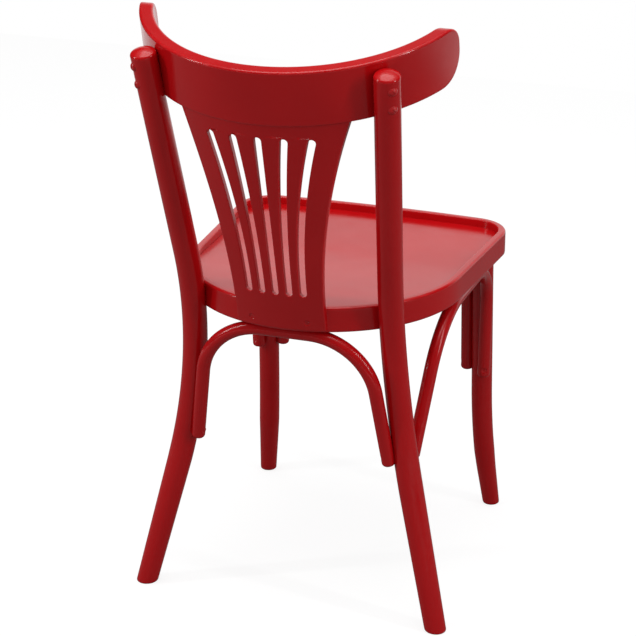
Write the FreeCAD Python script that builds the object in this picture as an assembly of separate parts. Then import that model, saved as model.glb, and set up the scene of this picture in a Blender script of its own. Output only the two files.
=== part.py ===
import FreeCAD, Part
import math
import os

# A painted bentwood bistro chair. Millimetres, +Z up, the sitter faces -Y.
# The chair is the same on both sides of the plane x = 0.
# While the pieces are worked out, y = 0 is the line on which the back of the seat is set out;
# at the end every piece is moved so that the origin is the middle of the chair's box, on the floor.

V = FreeCAD.Vector
X_AXIS = V(1, 0, 0)
Y_AXIS = V(0, 1, 0)
Z_AXIS = V(0, 0, 1)

# Seat: a bent ring with a dished plywood panel let into it
seat_height = 465.0
ring_height = 36.0
ring_width = 30.0
ring_lip = 11.0
ring_edge_round = 3.5
seat_back_radius = 196.0
seat_front_half_width = 206.5
seat_depth = 436.0
seat_corner_radius = 54.0
seat_front_bow_radius = 2200.0
panel_thickness = 7.0
panel_dish = 11.0
dish_start = 20.0
dish_run = 250.0

# Rear legs, which run on upwards as the posts of the back. Their place at the seat and at the
# crest is an angle, counted from +X, round the seat's back arc and round the crest.
post_angle = 47.3
rear_foot_out = 217.5
rear_foot_y = -24.5
rear_knee_drop = 115.0
rear_bend_radius = 690.0
rear_foot_diameter = 30.0
post_diameter = 34.5
post_top_rise = 350.0
post_dome_radius = 30.0
post_dome_edge = 4.5
post_seat_flat = 2.0
post_seat_notch = 0.6
post_notch_clearance = 3.5
post_crest_bite = 1.6

# Front legs, placed by the distance of their tops from the seat's sides and front
front_leg_inset = 37.0
front_foot_spread = 15.0
front_foot_forward = 35.0
front_knee_spread = 2.5
front_knee_forward = 11.0
front_knee_height = 130.0
front_bend_radius = 900.0
front_foot_diameter = 25.0
front_leg_diameter = 31.0
tenon_diameter = 20.0
tenon_length = 15.0
foot_edge_round = 3.0

# Back: a leaning splat, and a curved crest rail that leans a little less. A rise is a height above
# the seat's top, but the splat's front face crosses the ring's back splat_meet_rise above its bottom:
# below that the splat is let into the ring.
back_lean = 15.0
splat_meet_rise = 23.0
crest_lean = 12.8
crest_radius = 223.0
crest_thickness = 19.0
crest_height = 76.5
crest_rise = 272.5
crest_end_reach = 178.0
crest_top_corner = 26.0
crest_bottom_corner = 42.0
crest_edge_round = 3.0
splat_thickness = 9.0
splat_recess = 1.5
splat_tongue = 12.0
splat_bottom_lift = 4.0
splat_bottom_half = 63.0
splat_waist_half = 64.0
splat_waist_rise = 35.0
splat_flare_half = 84.5
splat_flare_rise = 175.0
splat_top_half = 115.5

# Splat slots: a fan of five, upright at the foot and spreading ever faster further up
slot_count = 5
slot_bottom_width = 9.5
slot_top_width = 10.5
slot_bottom_pitch = 19.0
slot_top_pitch = 34.8
slot_side_points = 9
slot_bottom_rise = 21.0
slot_top_rise = 255.5

# Bent arches that brace the legs against the seat. Their bars are set into the legs by arch_bite.
arch_diameter = 19.0
arch_bite = 2.0
arch_end_drop = 233.0
arch_end_round = 5.0
rear_arch_corner = 92.0
rear_arch_narrowing = 27.0
rear_arch_turn = 23.0
front_arch_corner = 80.0
front_arch_narrowing = 3.0
front_arch_forward = 6.0
side_arch_rear_corner = 105.0
side_arch_rear_run = 62.0
side_arch_front_corner = 70.0
side_arch_inset = 23.0
side_arch_turn = 69.0

# Fasteners
crest_screw_head = 13.0
crest_screw_rise = 4.2
crest_screw_shank = 5.0
crest_screw_length = 34.0
crest_screw_first = 19.0
crest_screw_pitch = 26.0
spot_depth = 1.2
small_screw_head = 8.0
small_screw_shank = 4.0
small_screw_cone = 2.6
small_screw_recess = 1.0
drive_slot_width = 1.2
drive_slot_depth = 1.0
splat_screw_length = 28.0
splat_screw_out = 39.0
splat_screw_rise = 16.0
arch_end_screw_rise = 12.0
arch_end_screw_length = 32.0
crown_screw_length = 34.0
block_screw_length = 42.0
block_screw_offset = 22.0
bolt_rise = 13.0
bolt_shank = 6.0
bolt_head = 13.0
bolt_head_height = 4.0
washer_diameter = 18.0
washer_thickness = 1.6
insert_diameter = 10.0
insert_length = 16.0

# Corner blocks inside the ring, which take half of each front leg's tenon
block_reach = 62.0
block_thickness = 14.0

# Cutters run past the faces that they open by cut_over. An edge counts as lying level, or on the
# floor, if it keeps within level_limit of that.
cut_over = 1.0
level_limit = 0.01

# Heights above the floor that follow from the seat's
seat_bottom = seat_height - ring_height
rear_knee_height = seat_height - rear_knee_drop
post_top_height = seat_height + post_top_rise
splat_meet_height = seat_bottom + splat_meet_rise
crest_bottom_height = seat_height + crest_rise
splat_waist_height = seat_height + splat_waist_rise
splat_flare_height = seat_height + splat_flare_rise
slot_bottom_height = seat_height + slot_bottom_rise
slot_top_height = seat_height + slot_top_rise
arch_end_height = seat_height - arch_end_drop
LEAN = math.radians(back_lean)
CREST_LEAN = math.radians(crest_lean)
POST_ANGLE = math.radians(post_angle)
SIDES = (("left", 1), ("right", -1))


def mirror(shape):
    """The same piece on the other side of the plane x = 0."""
    return shape.mirror(V(0, 0, 0), X_AXIS)


def on_side(shape, side):
    """A piece made for +X, placed on +X or -X."""
    return shape if side > 0 else mirror(shape)


def polar(centre, radius, angle):
    return centre + V(radius * math.cos(angle), radius * math.sin(angle), 0)


def arc(start, middle, end):
    return Part.Arc(start, middle, end).toShape()


def line(start, end):
    return Part.LineSegment(start, end).toShape()


def seat_centres():
    """Centres of the arcs of the seat's outline, which an inward offset leaves where they are."""
    back = V(0, -seat_back_radius, 0)
    bow = V(0, seat_front_bow_radius - seat_depth, 0)
    corner_x = seat_front_half_width - seat_corner_radius
    reach = seat_front_bow_radius - seat_corner_radius
    corner = V(corner_x, bow.y - math.sqrt(reach ** 2 - corner_x ** 2), 0)
    return back, corner, bow


def seat_outline(inset, z):
    """The seat's outline moved inwards by inset: back arc, straight sides, corners, bowed front."""
    back, corner, bow = seat_centres()
    back_r = seat_back_radius - inset
    corner_r = seat_corner_radius - inset
    bow_r = seat_front_bow_radius - inset
    across = corner - back
    side = math.atan2(across.y, across.x) + math.acos((back_r - corner_r) / across.Length)
    front = math.atan2(corner.y - bow.y, corner.x)
    lift = V(0, 0, z)
    half = [
        polar(back, back_r, math.pi / 2),
        polar(back, back_r, (math.pi / 2 + side) / 2),
        polar(back, back_r, side),
        polar(corner, corner_r, side),
        polar(corner, corner_r, (side + front) / 2),
        polar(corner, corner_r, front),
        polar(bow, bow_r, (front - math.pi / 2) / 2),
        polar(bow, bow_r, -math.pi / 2),
    ]
    right = [p + lift for p in half]
    left = [V(-p.x, p.y, p.z) for p in right]
    edges = [
        arc(left[2], right[0], right[2]),
        line(right[2], right[3]),
        arc(right[3], right[4], right[5]),
        arc(right[5], right[7], left[5]),
        arc(left[5], left[4], left[3]),
        line(left[3], left[2]),
    ]
    return Part.Wire(edges)


def seat_prism(inset, bottom, top):
    return Part.Face(seat_outline(inset, bottom)).extrude(V(0, 0, top - bottom))


def dish_band(top_drop, bottom_z):
    """A block right across the seat, whose upper side is the panel's dish lowered by top_drop."""
    start = V(0, dish_start, seat_height - top_drop)
    turn = V(0, -dish_run / 4, seat_height - top_drop)
    low = V(0, -dish_run * 3 / 4, seat_height - top_drop - panel_dish)
    end = V(0, -dish_run, seat_height - top_drop - panel_dish)
    front = V(0, -seat_depth - dish_start, end.z)
    dip = Part.BezierCurve()
    dip.setPoles([start, turn, low, end])
    corner_front = V(0, front.y, bottom_z)
    corner_back = V(0, dish_start, bottom_z)
    edges = [dip.toShape(), line(end, front), line(front, corner_front)]
    edges += [line(corner_front, corner_back), line(corner_back, start)]
    face = Part.Face(Part.Wire(edges))
    width = seat_front_half_width + seat_back_radius
    face.translate(V(-width, 0, 0))
    return face.extrude(V(2 * width, 0, 0))


def round_edges(shape, radius, pick):
    edges = [e for e in shape.Edges if pick(e)]
    return shape.makeFillet(radius, edges)


def bend(start, knee, end, radius):
    """Points where a line, a tangent arc and a line meet, and the middle of the arc and its centre."""
    into = (knee - start).normalize()
    out = (end - knee).normalize()
    turn = into.getAngle(out)
    reach = radius * math.tan(turn / 2)
    first = knee - into * reach
    last = knee + out * reach
    towards = (out - into).normalize()
    centre = knee + towards * (radius / math.cos(turn / 2))
    middle = centre - towards * radius
    return first, middle, last, centre, turn


def slab(middle, reach, bottom, top):
    """A block round an upright line, which reaches as far to each side as is given."""
    corner = V(middle.x - reach, middle.y - reach, bottom)
    return Part.makeBox(2 * reach, 2 * reach, top - bottom, corner)


def bent_leg(foot, knee, top, radius, foot_r, leg_r):
    """A round leg: a tapered foot, one gentle bend, then straight to the top."""
    first, middle, last, centre, turn = bend(foot, knee, top, radius)
    down = (foot - knee).normalize()
    spare = 2 * foot_r * math.tan(down.getAngle(-Z_AXIS))
    toe = foot + down * spare
    rise = (first - toe).Length
    lower = Part.makeCone(foot_r, leg_r, rise, toe, -down)
    ring = Part.Wire(Part.makeCircle(leg_r, first, -down))
    hub = (first - centre).cross(last - centre)
    elbow = Part.Face(ring).revolve(centre, hub, math.degrees(turn))
    upper = Part.makeCylinder(leg_r, (top - last).Length, last, top - last)
    floor = slab(foot, 4 * foot_r, -4 * foot_r, 0)
    leg = lower.multiFuse([elbow, upper]).removeSplitter().cut(floor)
    return round_edges(leg, foot_edge_round, lambda e: e.BoundBox.ZMax < level_limit)


def rear_leg_points():
    """Foot, knee and top of a rear leg, which touches the back of the ring and the crest's back."""
    post_r = post_diameter / 2
    back = seat_centres()[0]
    bite = post_seat_flat + post_seat_notch
    seat = polar(back, seat_back_radius + post_r - bite, POST_ANGLE)
    seat.z = seat_height - ring_height / 2
    crest = crest_point(crest_radius + post_r - post_crest_bite, POST_ANGLE, crest_height / 2)
    foot = V(rear_foot_out, rear_foot_y, 0)
    aim = V(seat)
    for attempt in range(4):
        slope = (crest - aim) * (1 / (crest.z - aim.z))
        knee = aim + slope * (rear_knee_height - aim.z)
        top = aim + slope * (post_top_height - aim.z)
        miss = axis_at((foot, knee, top), rear_bend_radius, seat.z) - seat
        aim = aim - miss
    return foot, knee, top


def front_leg_points():
    top = V(seat_front_half_width - front_leg_inset, front_leg_inset - seat_depth, seat_bottom)
    knee = V(top.x + front_knee_spread, top.y - front_knee_forward, front_knee_height)
    foot = V(top.x + front_foot_spread, top.y - front_foot_forward, 0)
    return foot, knee, top


def axis_at(points, radius, height):
    """The point of a leg's centre line at one height: on its lower line, its bend or its upper line."""
    start, knee, end = points
    first, middle, last, centre, turn = bend(start, knee, end, radius)
    if height <= first.z:
        return start + (first - start) * ((height - start.z) / (first.z - start.z))
    if height >= last.z:
        return last + (end - last) * ((height - last.z) / (end.z - last.z))
    across = first - centre
    along = (last - centre - across * math.cos(turn)) * (1 / math.sin(turn))
    low, high = 0.0, turn
    for step in range(40):
        angle = (low + high) / 2
        point = centre + across * math.cos(angle) + along * math.sin(angle)
        if point.z < height:
            low = angle
        else:
            high = angle
    return point


def bearing_block(clearance):
    """Everything on the seat's side of the flat on which the rear leg bears, one ring deep."""
    depth = 2 * post_diameter
    width = post_diameter + 2 * clearance
    block = Part.makeBox(depth, width, ring_height, V(-depth, -width / 2, seat_bottom))
    block.rotate(V(0, 0, 0), Z_AXIS, post_angle)
    block.translate(polar(seat_centres()[0], seat_back_radius - post_seat_notch, POST_ANGLE))
    return block


def notch_block():
    """The shallow pocket in the ring's back edge that the rear leg sits in."""
    block = bearing_block(post_notch_clearance)
    block.translate(polar(V(0, 0, 0), 2 * post_diameter, POST_ANGLE))
    return block


def seat_ring(cutters):
    outer = seat_prism(0, seat_bottom, seat_height)
    outer = round_edges(outer, ring_edge_round, lambda e: e.BoundBox.ZLength < level_limit)
    hole = seat_prism(ring_width, seat_bottom - cut_over, seat_height + cut_over)
    pocket = seat_prism(ring_lip, seat_bottom, seat_height + cut_over)
    below = dish_band(panel_thickness, seat_bottom - cut_over)
    pocket = pocket.cut(below)
    notch = notch_block()
    ring = outer.cut(hole).cut(pocket).cut(notch).cut(mirror(notch))
    return ring.cut(cutters)


def seat_panel():
    below = dish_band(panel_thickness, seat_bottom - 2 * cut_over)
    sheet = dish_band(0, seat_bottom - cut_over).cut(below)
    return sheet.common(seat_prism(ring_lip, seat_bottom, seat_height + cut_over))


def tenon():
    top = front_leg_points()[2]
    return Part.makeCylinder(tenon_diameter / 2, tenon_length, top, Z_AXIS)


def corner_block():
    """A glued block that fills the inside corner of the ring round the leg's tenon."""
    inner = seat_prism(ring_width, seat_bottom, seat_bottom + block_thickness)
    corner = V(seat_front_half_width, -seat_depth, seat_bottom)
    reach = 2 * (ring_width + block_reach)
    points = [corner, corner - X_AXIS * reach, corner + Y_AXIS * reach, corner]
    wedge = Part.Face(Part.makePolygon(points)).extrude(V(0, 0, block_thickness))
    return inner.common(wedge).cut(tenon())


def rear_leg():
    foot, knee, top = rear_leg_points()
    leg = bent_leg(foot, knee, top, rear_bend_radius, rear_foot_diameter / 2, post_diameter / 2)
    along = (top - knee).normalize()
    ball_centre = top - along * post_dome_radius
    ball = Part.makeSphere(post_dome_radius, ball_centre)
    cap = Part.makeCylinder(post_diameter, 2 * post_dome_radius, ball_centre, along)
    leg = leg.cut(cap.cut(ball))
    leg = round_edges(leg, post_dome_edge, lambda e: is_dome_rim(e, top))
    return leg.cut(bearing_block(post_notch_clearance))


def is_dome_rim(edge, top):
    """The circle where the domed end meets the post's side."""
    long_enough = edge.Length > 2 * post_diameter
    return long_enough and edge.BoundBox.ZMin > top.z - post_diameter


def front_leg():
    foot, knee, top = front_leg_points()
    radius = front_leg_diameter / 2
    beyond = top + (top - knee).normalize() * radius
    leg = bent_leg(foot, knee, beyond, front_bend_radius, front_foot_diameter / 2, radius)
    above = slab(top, 4 * radius, top.z, top.z + 4 * radius)
    return leg.cut(above).fuse(tenon()).removeSplitter()


def splat_front_y(height):
    """Where the splat's front face lies on the middle plane at one height."""
    return (height - splat_meet_height) * math.tan(LEAN)


def crest_back_y():
    """Where the crest's back face crosses the middle plane, at its lower edge."""
    return splat_front_y(crest_bottom_height) + splat_thickness / math.cos(LEAN) + splat_recess


def crest_point(radius, angle, rise):
    """A point round the crest's own axis: radius from it, angle from +X, rise above the lower edge."""
    flat = polar(V(0, -crest_radius, 0), radius, angle)
    back = flat.y * math.cos(CREST_LEAN) + rise * math.sin(CREST_LEAN)
    up = rise * math.cos(CREST_LEAN) - flat.y * math.sin(CREST_LEAN)
    return V(flat.x, crest_back_y() + back, crest_bottom_height + up)


def crest_end_outline():
    """The crest seen from the side: its front ends are rounded, more below than above."""
    front = -crest_end_reach
    back = crest_thickness
    top = crest_height
    low_r = crest_bottom_corner
    high_r = crest_top_corner
    low_centre = V(0, front + low_r, low_r)
    high_centre = V(0, front + high_r, top - high_r)
    slant = V(0, -math.sqrt(0.5), -math.sqrt(0.5))
    rising = V(0, -math.sqrt(0.5), math.sqrt(0.5))
    edges = [
        line(V(0, back, 0), V(0, front + low_r, 0)),
        arc(V(0, front + low_r, 0), low_centre + slant * low_r, V(0, front, low_r)),
        line(V(0, front, low_r), V(0, front, top - high_r)),
        arc(V(0, front, top - high_r), high_centre + rising * high_r, V(0, front + high_r, top)),
        line(V(0, front + high_r, top), V(0, back, top)),
        line(V(0, back, top), V(0, back, 0)),
    ]
    return Part.Face(Part.Wire(edges))


def crest_rail():
    """A band of a round shell whose ends are cut to rounded tips, then leaned back."""
    centre = V(0, -crest_radius, 0)
    outer = Part.makeCylinder(crest_radius, crest_height, centre, Z_AXIS)
    inner = Part.makeCylinder(crest_radius - crest_thickness, crest_height, centre, Z_AXIS)
    outline = crest_end_outline()
    outline.translate(V(-2 * crest_radius, 0, 0))
    crest = outer.cut(inner).common(outline.extrude(V(4 * crest_radius, 0, 0)))
    crest = crest.makeFillet(crest_edge_round, crest.Edges)
    crest.rotate(V(0, 0, 0), X_AXIS, -crest_lean)
    crest.translate(V(0, crest_back_y(), crest_bottom_height))
    return crest


def splat_sheet():
    """The splat's sheet before its outline is cut: an arc in plan, carried up along the lean."""
    front_r = seat_back_radius
    back_r = front_r + splat_thickness
    half = math.asin((splat_top_half + splat_tongue) / back_r)
    centre = V(0, -front_r, 0)
    ends = (math.pi / 2 + half, math.pi / 2, math.pi / 2 - half)
    inner = [polar(centre, front_r, a) for a in ends]
    outer = [polar(centre, back_r, a) for a in ends]
    edges = [arc(*inner), line(inner[2], outer[2]), arc(*outer), line(outer[0], inner[0])]
    section = Part.Face(Part.Wire(Part.__sortEdges__(edges)))
    above = (crest_bottom_height - splat_meet_height) / math.cos(LEAN) + 2 * splat_tongue
    section.translate(V(0, 0, -ring_height))
    sheet = section.extrude(V(0, 0, ring_height + above))
    sheet.rotate(V(0, 0, 0), X_AXIS, -back_lean)
    sheet.translate(V(0, 0, splat_meet_height))
    return sheet


def through(face):
    """A face drawn in the plane y = 0, made into a cutter right through the back."""
    reach = seat_back_radius
    face.translate(V(0, -reach, 0))
    return face.extrude(V(0, 2 * reach, 0))


def splat_outline():
    """The fan outline: two curved sides that meet the crest wide and the seat narrow."""
    low = seat_bottom + splat_bottom_lift
    high = crest_bottom_height + splat_tongue
    right = curve([
        V(splat_bottom_half, 0, low),
        V(splat_waist_half, 0, splat_waist_height),
        V(splat_flare_half, 0, splat_flare_height),
        V(splat_top_half, 0, high)])
    top = line(V(splat_top_half, 0, high), V(-splat_top_half, 0, high))
    bottom = line(V(-splat_bottom_half, 0, low), V(splat_bottom_half, 0, low))
    edges = [right, top, mirror(right), bottom]
    return through(Part.Face(Part.Wire(Part.__sortEdges__(edges))))


def slot_middle(index, t):
    """A point of a slot's middle line, from its foot at t = 0 to its top at t = 1, and its way."""
    spread = slot_top_pitch - slot_bottom_pitch
    height = slot_top_height - slot_bottom_height
    x = index * (slot_bottom_pitch + spread * t * t)
    along = V(2 * index * spread * t, 0, height).normalize()
    return V(x, 0, slot_bottom_height + height * t), along


def curve(points):
    """A smooth curve through points."""
    spline = Part.BSplineCurve()
    spline.interpolate(points)
    return spline.toShape()


def slot(index):
    """One slot of the fan: round ends, curved sides, wider at the top."""
    height = slot_top_height - slot_bottom_height
    low_r = slot_bottom_width / 2
    high_r = slot_top_width / 2
    low_t = low_r / height
    high_t = 1 - high_r / height
    right = []
    left = []
    for step in range(slot_side_points):
        share = step / (slot_side_points - 1)
        middle, along = slot_middle(index, low_t + (high_t - low_t) * share)
        across = V(along.z, 0, -along.x) * (low_r + (high_r - low_r) * share)
        right.append(middle + across)
        left.append(middle - across)
    foot, foot_way = slot_middle(index, low_t)
    head, head_way = slot_middle(index, high_t)
    edges = [
        curve(right),
        arc(right[-1], head + head_way * high_r, left[-1]),
        curve(left[::-1]),
        arc(left[0], foot - foot_way * low_r, right[0]),
    ]
    return through(Part.Face(Part.Wire(edges)))


def splat_blank():
    return splat_sheet().common(splat_outline())


def splat():
    first = -(slot_count - 1) / 2
    return splat_blank().cut(Part.makeCompound([slot(first + i) for i in range(slot_count)]))


def tube(points, corners, radius):
    """A round bar along straight runs joined by tangent arcs."""
    edges = []
    start = points[0]
    for index, corner in enumerate(corners):
        knee = points[index + 1]
        first, middle, last, centre, turn = bend(start, knee, points[index + 2], corner)
        edges += [line(start, first), arc(first, middle, last)]
        start = last
    edges.append(line(start, points[-1]))
    path = Part.Wire(edges)
    direction = points[1] - points[0]
    ring = Part.Wire(Part.makeCircle(radius, points[0], direction))
    return path.makePipeShell([ring], True, False)


def leg_side(points, radius, leg_r, height, angle):
    """A point of an arch's centre line where its bar lies against a leg, on the side given."""
    axis = axis_at(points, radius, height)
    return polar(axis, leg_r + arch_diameter / 2 - arch_bite, math.radians(angle))


def rear_side(height, angle):
    return leg_side(rear_leg_points(), rear_bend_radius, post_diameter / 2, height, angle)


def front_side(height, angle):
    return leg_side(front_leg_points(), front_bend_radius, front_leg_diameter / 2, height, angle)


def across_path(end, narrowing, crown_y, corner):
    """An arch across the chair, given its end on the +X side."""
    crown = seat_bottom - arch_diameter / 2
    knee = V(end.x - narrowing, crown_y, crown)
    return [end, knee, V(-knee.x, knee.y, knee.z), V(-end.x, end.y, end.z)], [corner, corner]


def rear_arch_path():
    end = rear_side(arch_end_height, 180 - rear_arch_turn)
    return across_path(end, rear_arch_narrowing, -ring_width * 2 / 3, rear_arch_corner)


def front_arch_path():
    end = front_side(arch_end_height, 180)
    crown_y = front_leg_points()[2].y - front_arch_forward
    return across_path(end, front_arch_narrowing, crown_y, front_arch_corner)


def side_arch_path():
    """The arch on the +X side, from the rear leg's front to the front leg's back."""
    crown_x = seat_front_half_width - side_arch_inset
    crown_z = seat_bottom - arch_diameter / 2
    rear = rear_side(arch_end_height, -90)
    front = front_side(arch_end_height, side_arch_turn)
    knee_rear = V(crown_x, rear.y - side_arch_rear_run, crown_z)
    knee_front = V(crown_x, front_side(seat_bottom, side_arch_turn).y, crown_z)
    return [rear, knee_rear, knee_front, front], [side_arch_rear_corner, side_arch_front_corner]


def is_arch_end(edge):
    return edge.BoundBox.ZMax < arch_end_height + arch_diameter / 2


def arch(path, cutters):
    points, corners = path
    bar = tube(points, corners, arch_diameter / 2)
    bar = round_edges(bar, arch_end_round, is_arch_end)
    return bar.cut(cutters)


def slotted(head):
    """A screw head with its slot, drawn with the top of the head at the origin."""
    width = 2 * crest_screw_head
    blade = Part.makeBox(width, drive_slot_width, drive_slot_depth,
                         V(-width / 2, -drive_slot_width / 2, -drive_slot_depth))
    return head.cut(blade)


def dome_screw():
    """A round-headed screw whose head stands on the plane z = 0, and the hole it needs."""
    radius = (crest_screw_head ** 2 / 4 + crest_screw_rise ** 2) / (2 * crest_screw_rise)
    ball = Part.makeSphere(radius, V(0, 0, crest_screw_rise - radius))
    head_r = crest_screw_head / 2
    head = ball.common(Part.makeCylinder(head_r, crest_screw_rise))
    head.translate(V(0, 0, -crest_screw_rise))
    head = slotted(head)
    head.translate(V(0, 0, crest_screw_rise))
    stem = Part.makeCylinder(crest_screw_shank / 2, crest_screw_length, V(0, 0, 0), -Z_AXIS)
    spot = Part.makeCylinder(head_r, crest_screw_head)
    return head.fuse(stem), spot.fuse(stem)


def flush_screw(length):
    """A countersunk screw whose head ends at z = 0, and the hole it needs."""
    head_r = small_screw_head / 2
    shank_r = small_screw_shank / 2
    cone = Part.makeCone(shank_r, head_r, small_screw_cone, V(0, 0, -small_screw_cone), Z_AXIS)
    stem = Part.makeCylinder(shank_r, length, V(0, 0, 0), -Z_AXIS)
    body = cone.fuse(stem)
    spot = Part.makeCylinder(head_r, small_screw_head)
    return slotted(body), spot.fuse(body)


def bolt():
    """A bolt, its washer and its insert, set on the plane z = 0, and the hole all three need."""
    reach = ring_width - spot_depth - post_seat_notch
    shank_r = bolt_shank / 2
    length = reach + insert_length + washer_thickness
    head = Part.makeCylinder(bolt_head / 2, bolt_head_height, V(0, 0, washer_thickness))
    shank = Part.makeCylinder(shank_r, length, V(0, 0, washer_thickness), -Z_AXIS)
    washer = Part.makeCylinder(washer_diameter / 2, washer_thickness)
    insert = Part.makeCylinder(insert_diameter / 2, insert_length, V(0, 0, -reach), -Z_AXIS)
    spot = Part.makeCylinder(washer_diameter / 2 + cut_over, washer_diameter)
    hole = spot.multiFuse([shank, insert])
    return head.fuse(shank), washer.cut(shank), insert.cut(shank), hole


def put(shape, point, way):
    """A fastener drawn along -Z, set at a point so that its shank runs the way given."""
    placed = shape.copy()
    placed.Placement = FreeCAD.Placement(point, FreeCAD.Rotation(-Z_AXIS, way))
    return placed


def crest_screw_places():
    """Heads on the posts' outer back, shanks square to the crest."""
    places = []
    points = rear_leg_points()
    way = crest_point(0, 0, 0) - crest_point(1, POST_ANGLE, 0)
    for index in range(2):
        aim = crest_point(crest_radius, POST_ANGLE, crest_screw_first + index * crest_screw_pitch)
        axis = axis_at(points, rear_bend_radius, aim.z)
        places.append((axis - way * (post_diameter / 2 - spot_depth), way))
    return places


def splat_screw_places():
    """Heads let into the splat's back, shanks square to it, through it into the ring."""
    back_r = seat_back_radius + splat_thickness
    angle = math.acos(splat_screw_out / back_r)
    sunk = polar(V(0, -seat_back_radius, 0), back_r - small_screw_recess, angle)
    drop = seat_bottom + splat_screw_rise - splat_meet_height
    sunk.z = (drop + sunk.y * math.sin(LEAN)) / math.cos(LEAN)
    turn = FreeCAD.Rotation(X_AXIS, -back_lean)
    head = turn.multVec(sunk) + V(0, 0, splat_meet_height)
    return [(head, turn.multVec(polar(V(0, 0, 0), -1, angle)))]


def arch_end_places():
    """One screw near each end of every arch, driven from the bar's free side into the leg."""
    height = arch_end_height + arch_end_screw_rise
    ways = [180 - rear_arch_turn, -90, 180, side_arch_turn]
    sides = [rear_side, rear_side, front_side, front_side]
    places = []
    for side, angle in zip(sides, ways):
        out = polar(V(0, 0, 0), 1, math.radians(angle))
        places.append((side(height, angle) + out * (arch_diameter / 2 - small_screw_recess), -out))
    return places


def crown_screw_places():
    """One screw up through the crown of each arch into the ring."""
    depth = seat_bottom - arch_diameter + small_screw_recess
    rear = rear_arch_path()[0][1]
    front = front_arch_path()[0][1]
    side = side_arch_path()[0]
    middle = (side[1] + side[2]) * 0.5
    return [V(0, rear.y, depth), V(0, front.y, depth), V(middle.x, middle.y, depth)]


def block_screw_places():
    """Two screws through the slanting face of each corner block, one on each side of the tenon."""
    corner = V(seat_front_half_width, -seat_depth, seat_bottom + block_thickness / 2)
    outward = V(1, -1, 0).normalize()
    along = V(1, 1, 0).normalize()
    face = corner - outward * ((ring_width + block_reach) * math.sqrt(2))
    return [(face + along * shift, outward) for shift in (-block_screw_offset, block_screw_offset)]


def bolt_places():
    point = polar(seat_centres()[0], seat_back_radius - ring_width + spot_depth, POST_ANGLE)
    point.z = seat_bottom + bolt_rise
    return point, polar(V(0, 0, 0), 1, POST_ANGLE)


def pairs(shapes):
    """Pieces made for +X, with their mirror images."""
    return shapes + [mirror(shape) for shape in shapes]


def fasteners():
    """Every fastener node, and a compound of all the holes they need."""
    dome, dome_hole = dome_screw()
    splat_screw, splat_hole = flush_screw(splat_screw_length)
    end_screw, end_hole = flush_screw(arch_end_screw_length)
    crown_screw, crown_hole = flush_screw(crown_screw_length)
    block_screw, block_hole = flush_screw(block_screw_length)
    bolt_body, washer, insert, bolt_hole = bolt()
    point, way = bolt_places()
    crown = [(place, Z_AXIS) for place in crown_screw_places()]
    kinds = {
        "crest_screws": (dome, dome_hole, crest_screw_places()),
        "splat_screws": (splat_screw, splat_hole, splat_screw_places()),
        "arch_end_screws": (end_screw, end_hole, arch_end_places()),
        "corner_block_screws": (block_screw, block_hole, block_screw_places()),
        "rear_leg_bolts": (bolt_body, bolt_hole, [(point, way)]),
        "rear_leg_washers": (washer, bolt_hole, [(point, way)]),
        "rear_leg_inserts": (insert, bolt_hole, [(point, way)]),
    }
    nodes = {}
    holes = [put(crown_hole, *place) for place in crown]
    holes.append(mirror(holes[-1]))
    crowns = [put(crown_screw, *place) for place in crown]
    nodes["arch_crown_screws"] = Part.makeCompound(crowns + [mirror(crowns[-1])])
    for name, (body, hole, places) in kinds.items():
        nodes[name] = Part.makeCompound(pairs([put(body, *place) for place in places]))
        holes += pairs([put(hole, *place) for place in places])
    return nodes, Part.makeCompound(holes)


def export(nodes):
    os.makedirs("parts", exist_ok=True)
    everything = Part.makeCompound(list(nodes.values()))
    box = everything.optimalBoundingBox(False, False)
    centre = V(0, -(box.YMin + box.YMax) / 2, 0)
    print("box", round(box.XLength, 1), round(box.YLength, 1), round(box.ZLength, 1), "shift", centre.y)
    for name, shape in nodes.items():
        moved = shape.copy()
        moved.translate(centre)
        moved.exportStep("parts/" + name + ".step")
        print(name, len(moved.Solids), "solids", round(moved.Volume), "mm3", moved.isValid())


def main():
    let_in = Part.makeCompound(pairs([tenon()]) + [splat_blank()])
    crest = crest_rail()
    plate = splat()
    rear = rear_leg().cut(crest)
    front = front_leg()
    legs = Part.makeCompound(pairs([rear, front]))
    wood = {
        "seat_ring": seat_ring(let_in),
        "seat_panel": seat_panel(),
        "crest_rail": crest.cut(plate),
        "splat": plate,
        "rear_arch": arch(rear_arch_path(), legs),
        "front_arch": arch(front_arch_path(), legs),
    }
    sided = {
        "rear_leg": rear,
        "front_leg": front,
        "side_arch": arch(side_arch_path(), legs),
        "corner_block": corner_block(),
    }
    for name, shape in sided.items():
        for side, sign in SIDES:
            wood[name + "_" + side] = on_side(shape, sign)
    metal, holes = fasteners()
    nodes = {name: shape.cut(holes) for name, shape in wood.items()}
    nodes.update(metal)
    export(nodes)


main()
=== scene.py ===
# %% [markdown]
# # A red bentwood cafe chair
# The measured model fixes where every piece is. This lesson dresses it: each wooden piece that
# shows is worked out again as one smooth skin, so that gloss runs along it without facets. The
# screws, the other hardware and the two corner blocks keep their measured solids.
# All lengths are in metres. The chair's back is towards +Y.

# %% Load the measured model
import math

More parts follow.
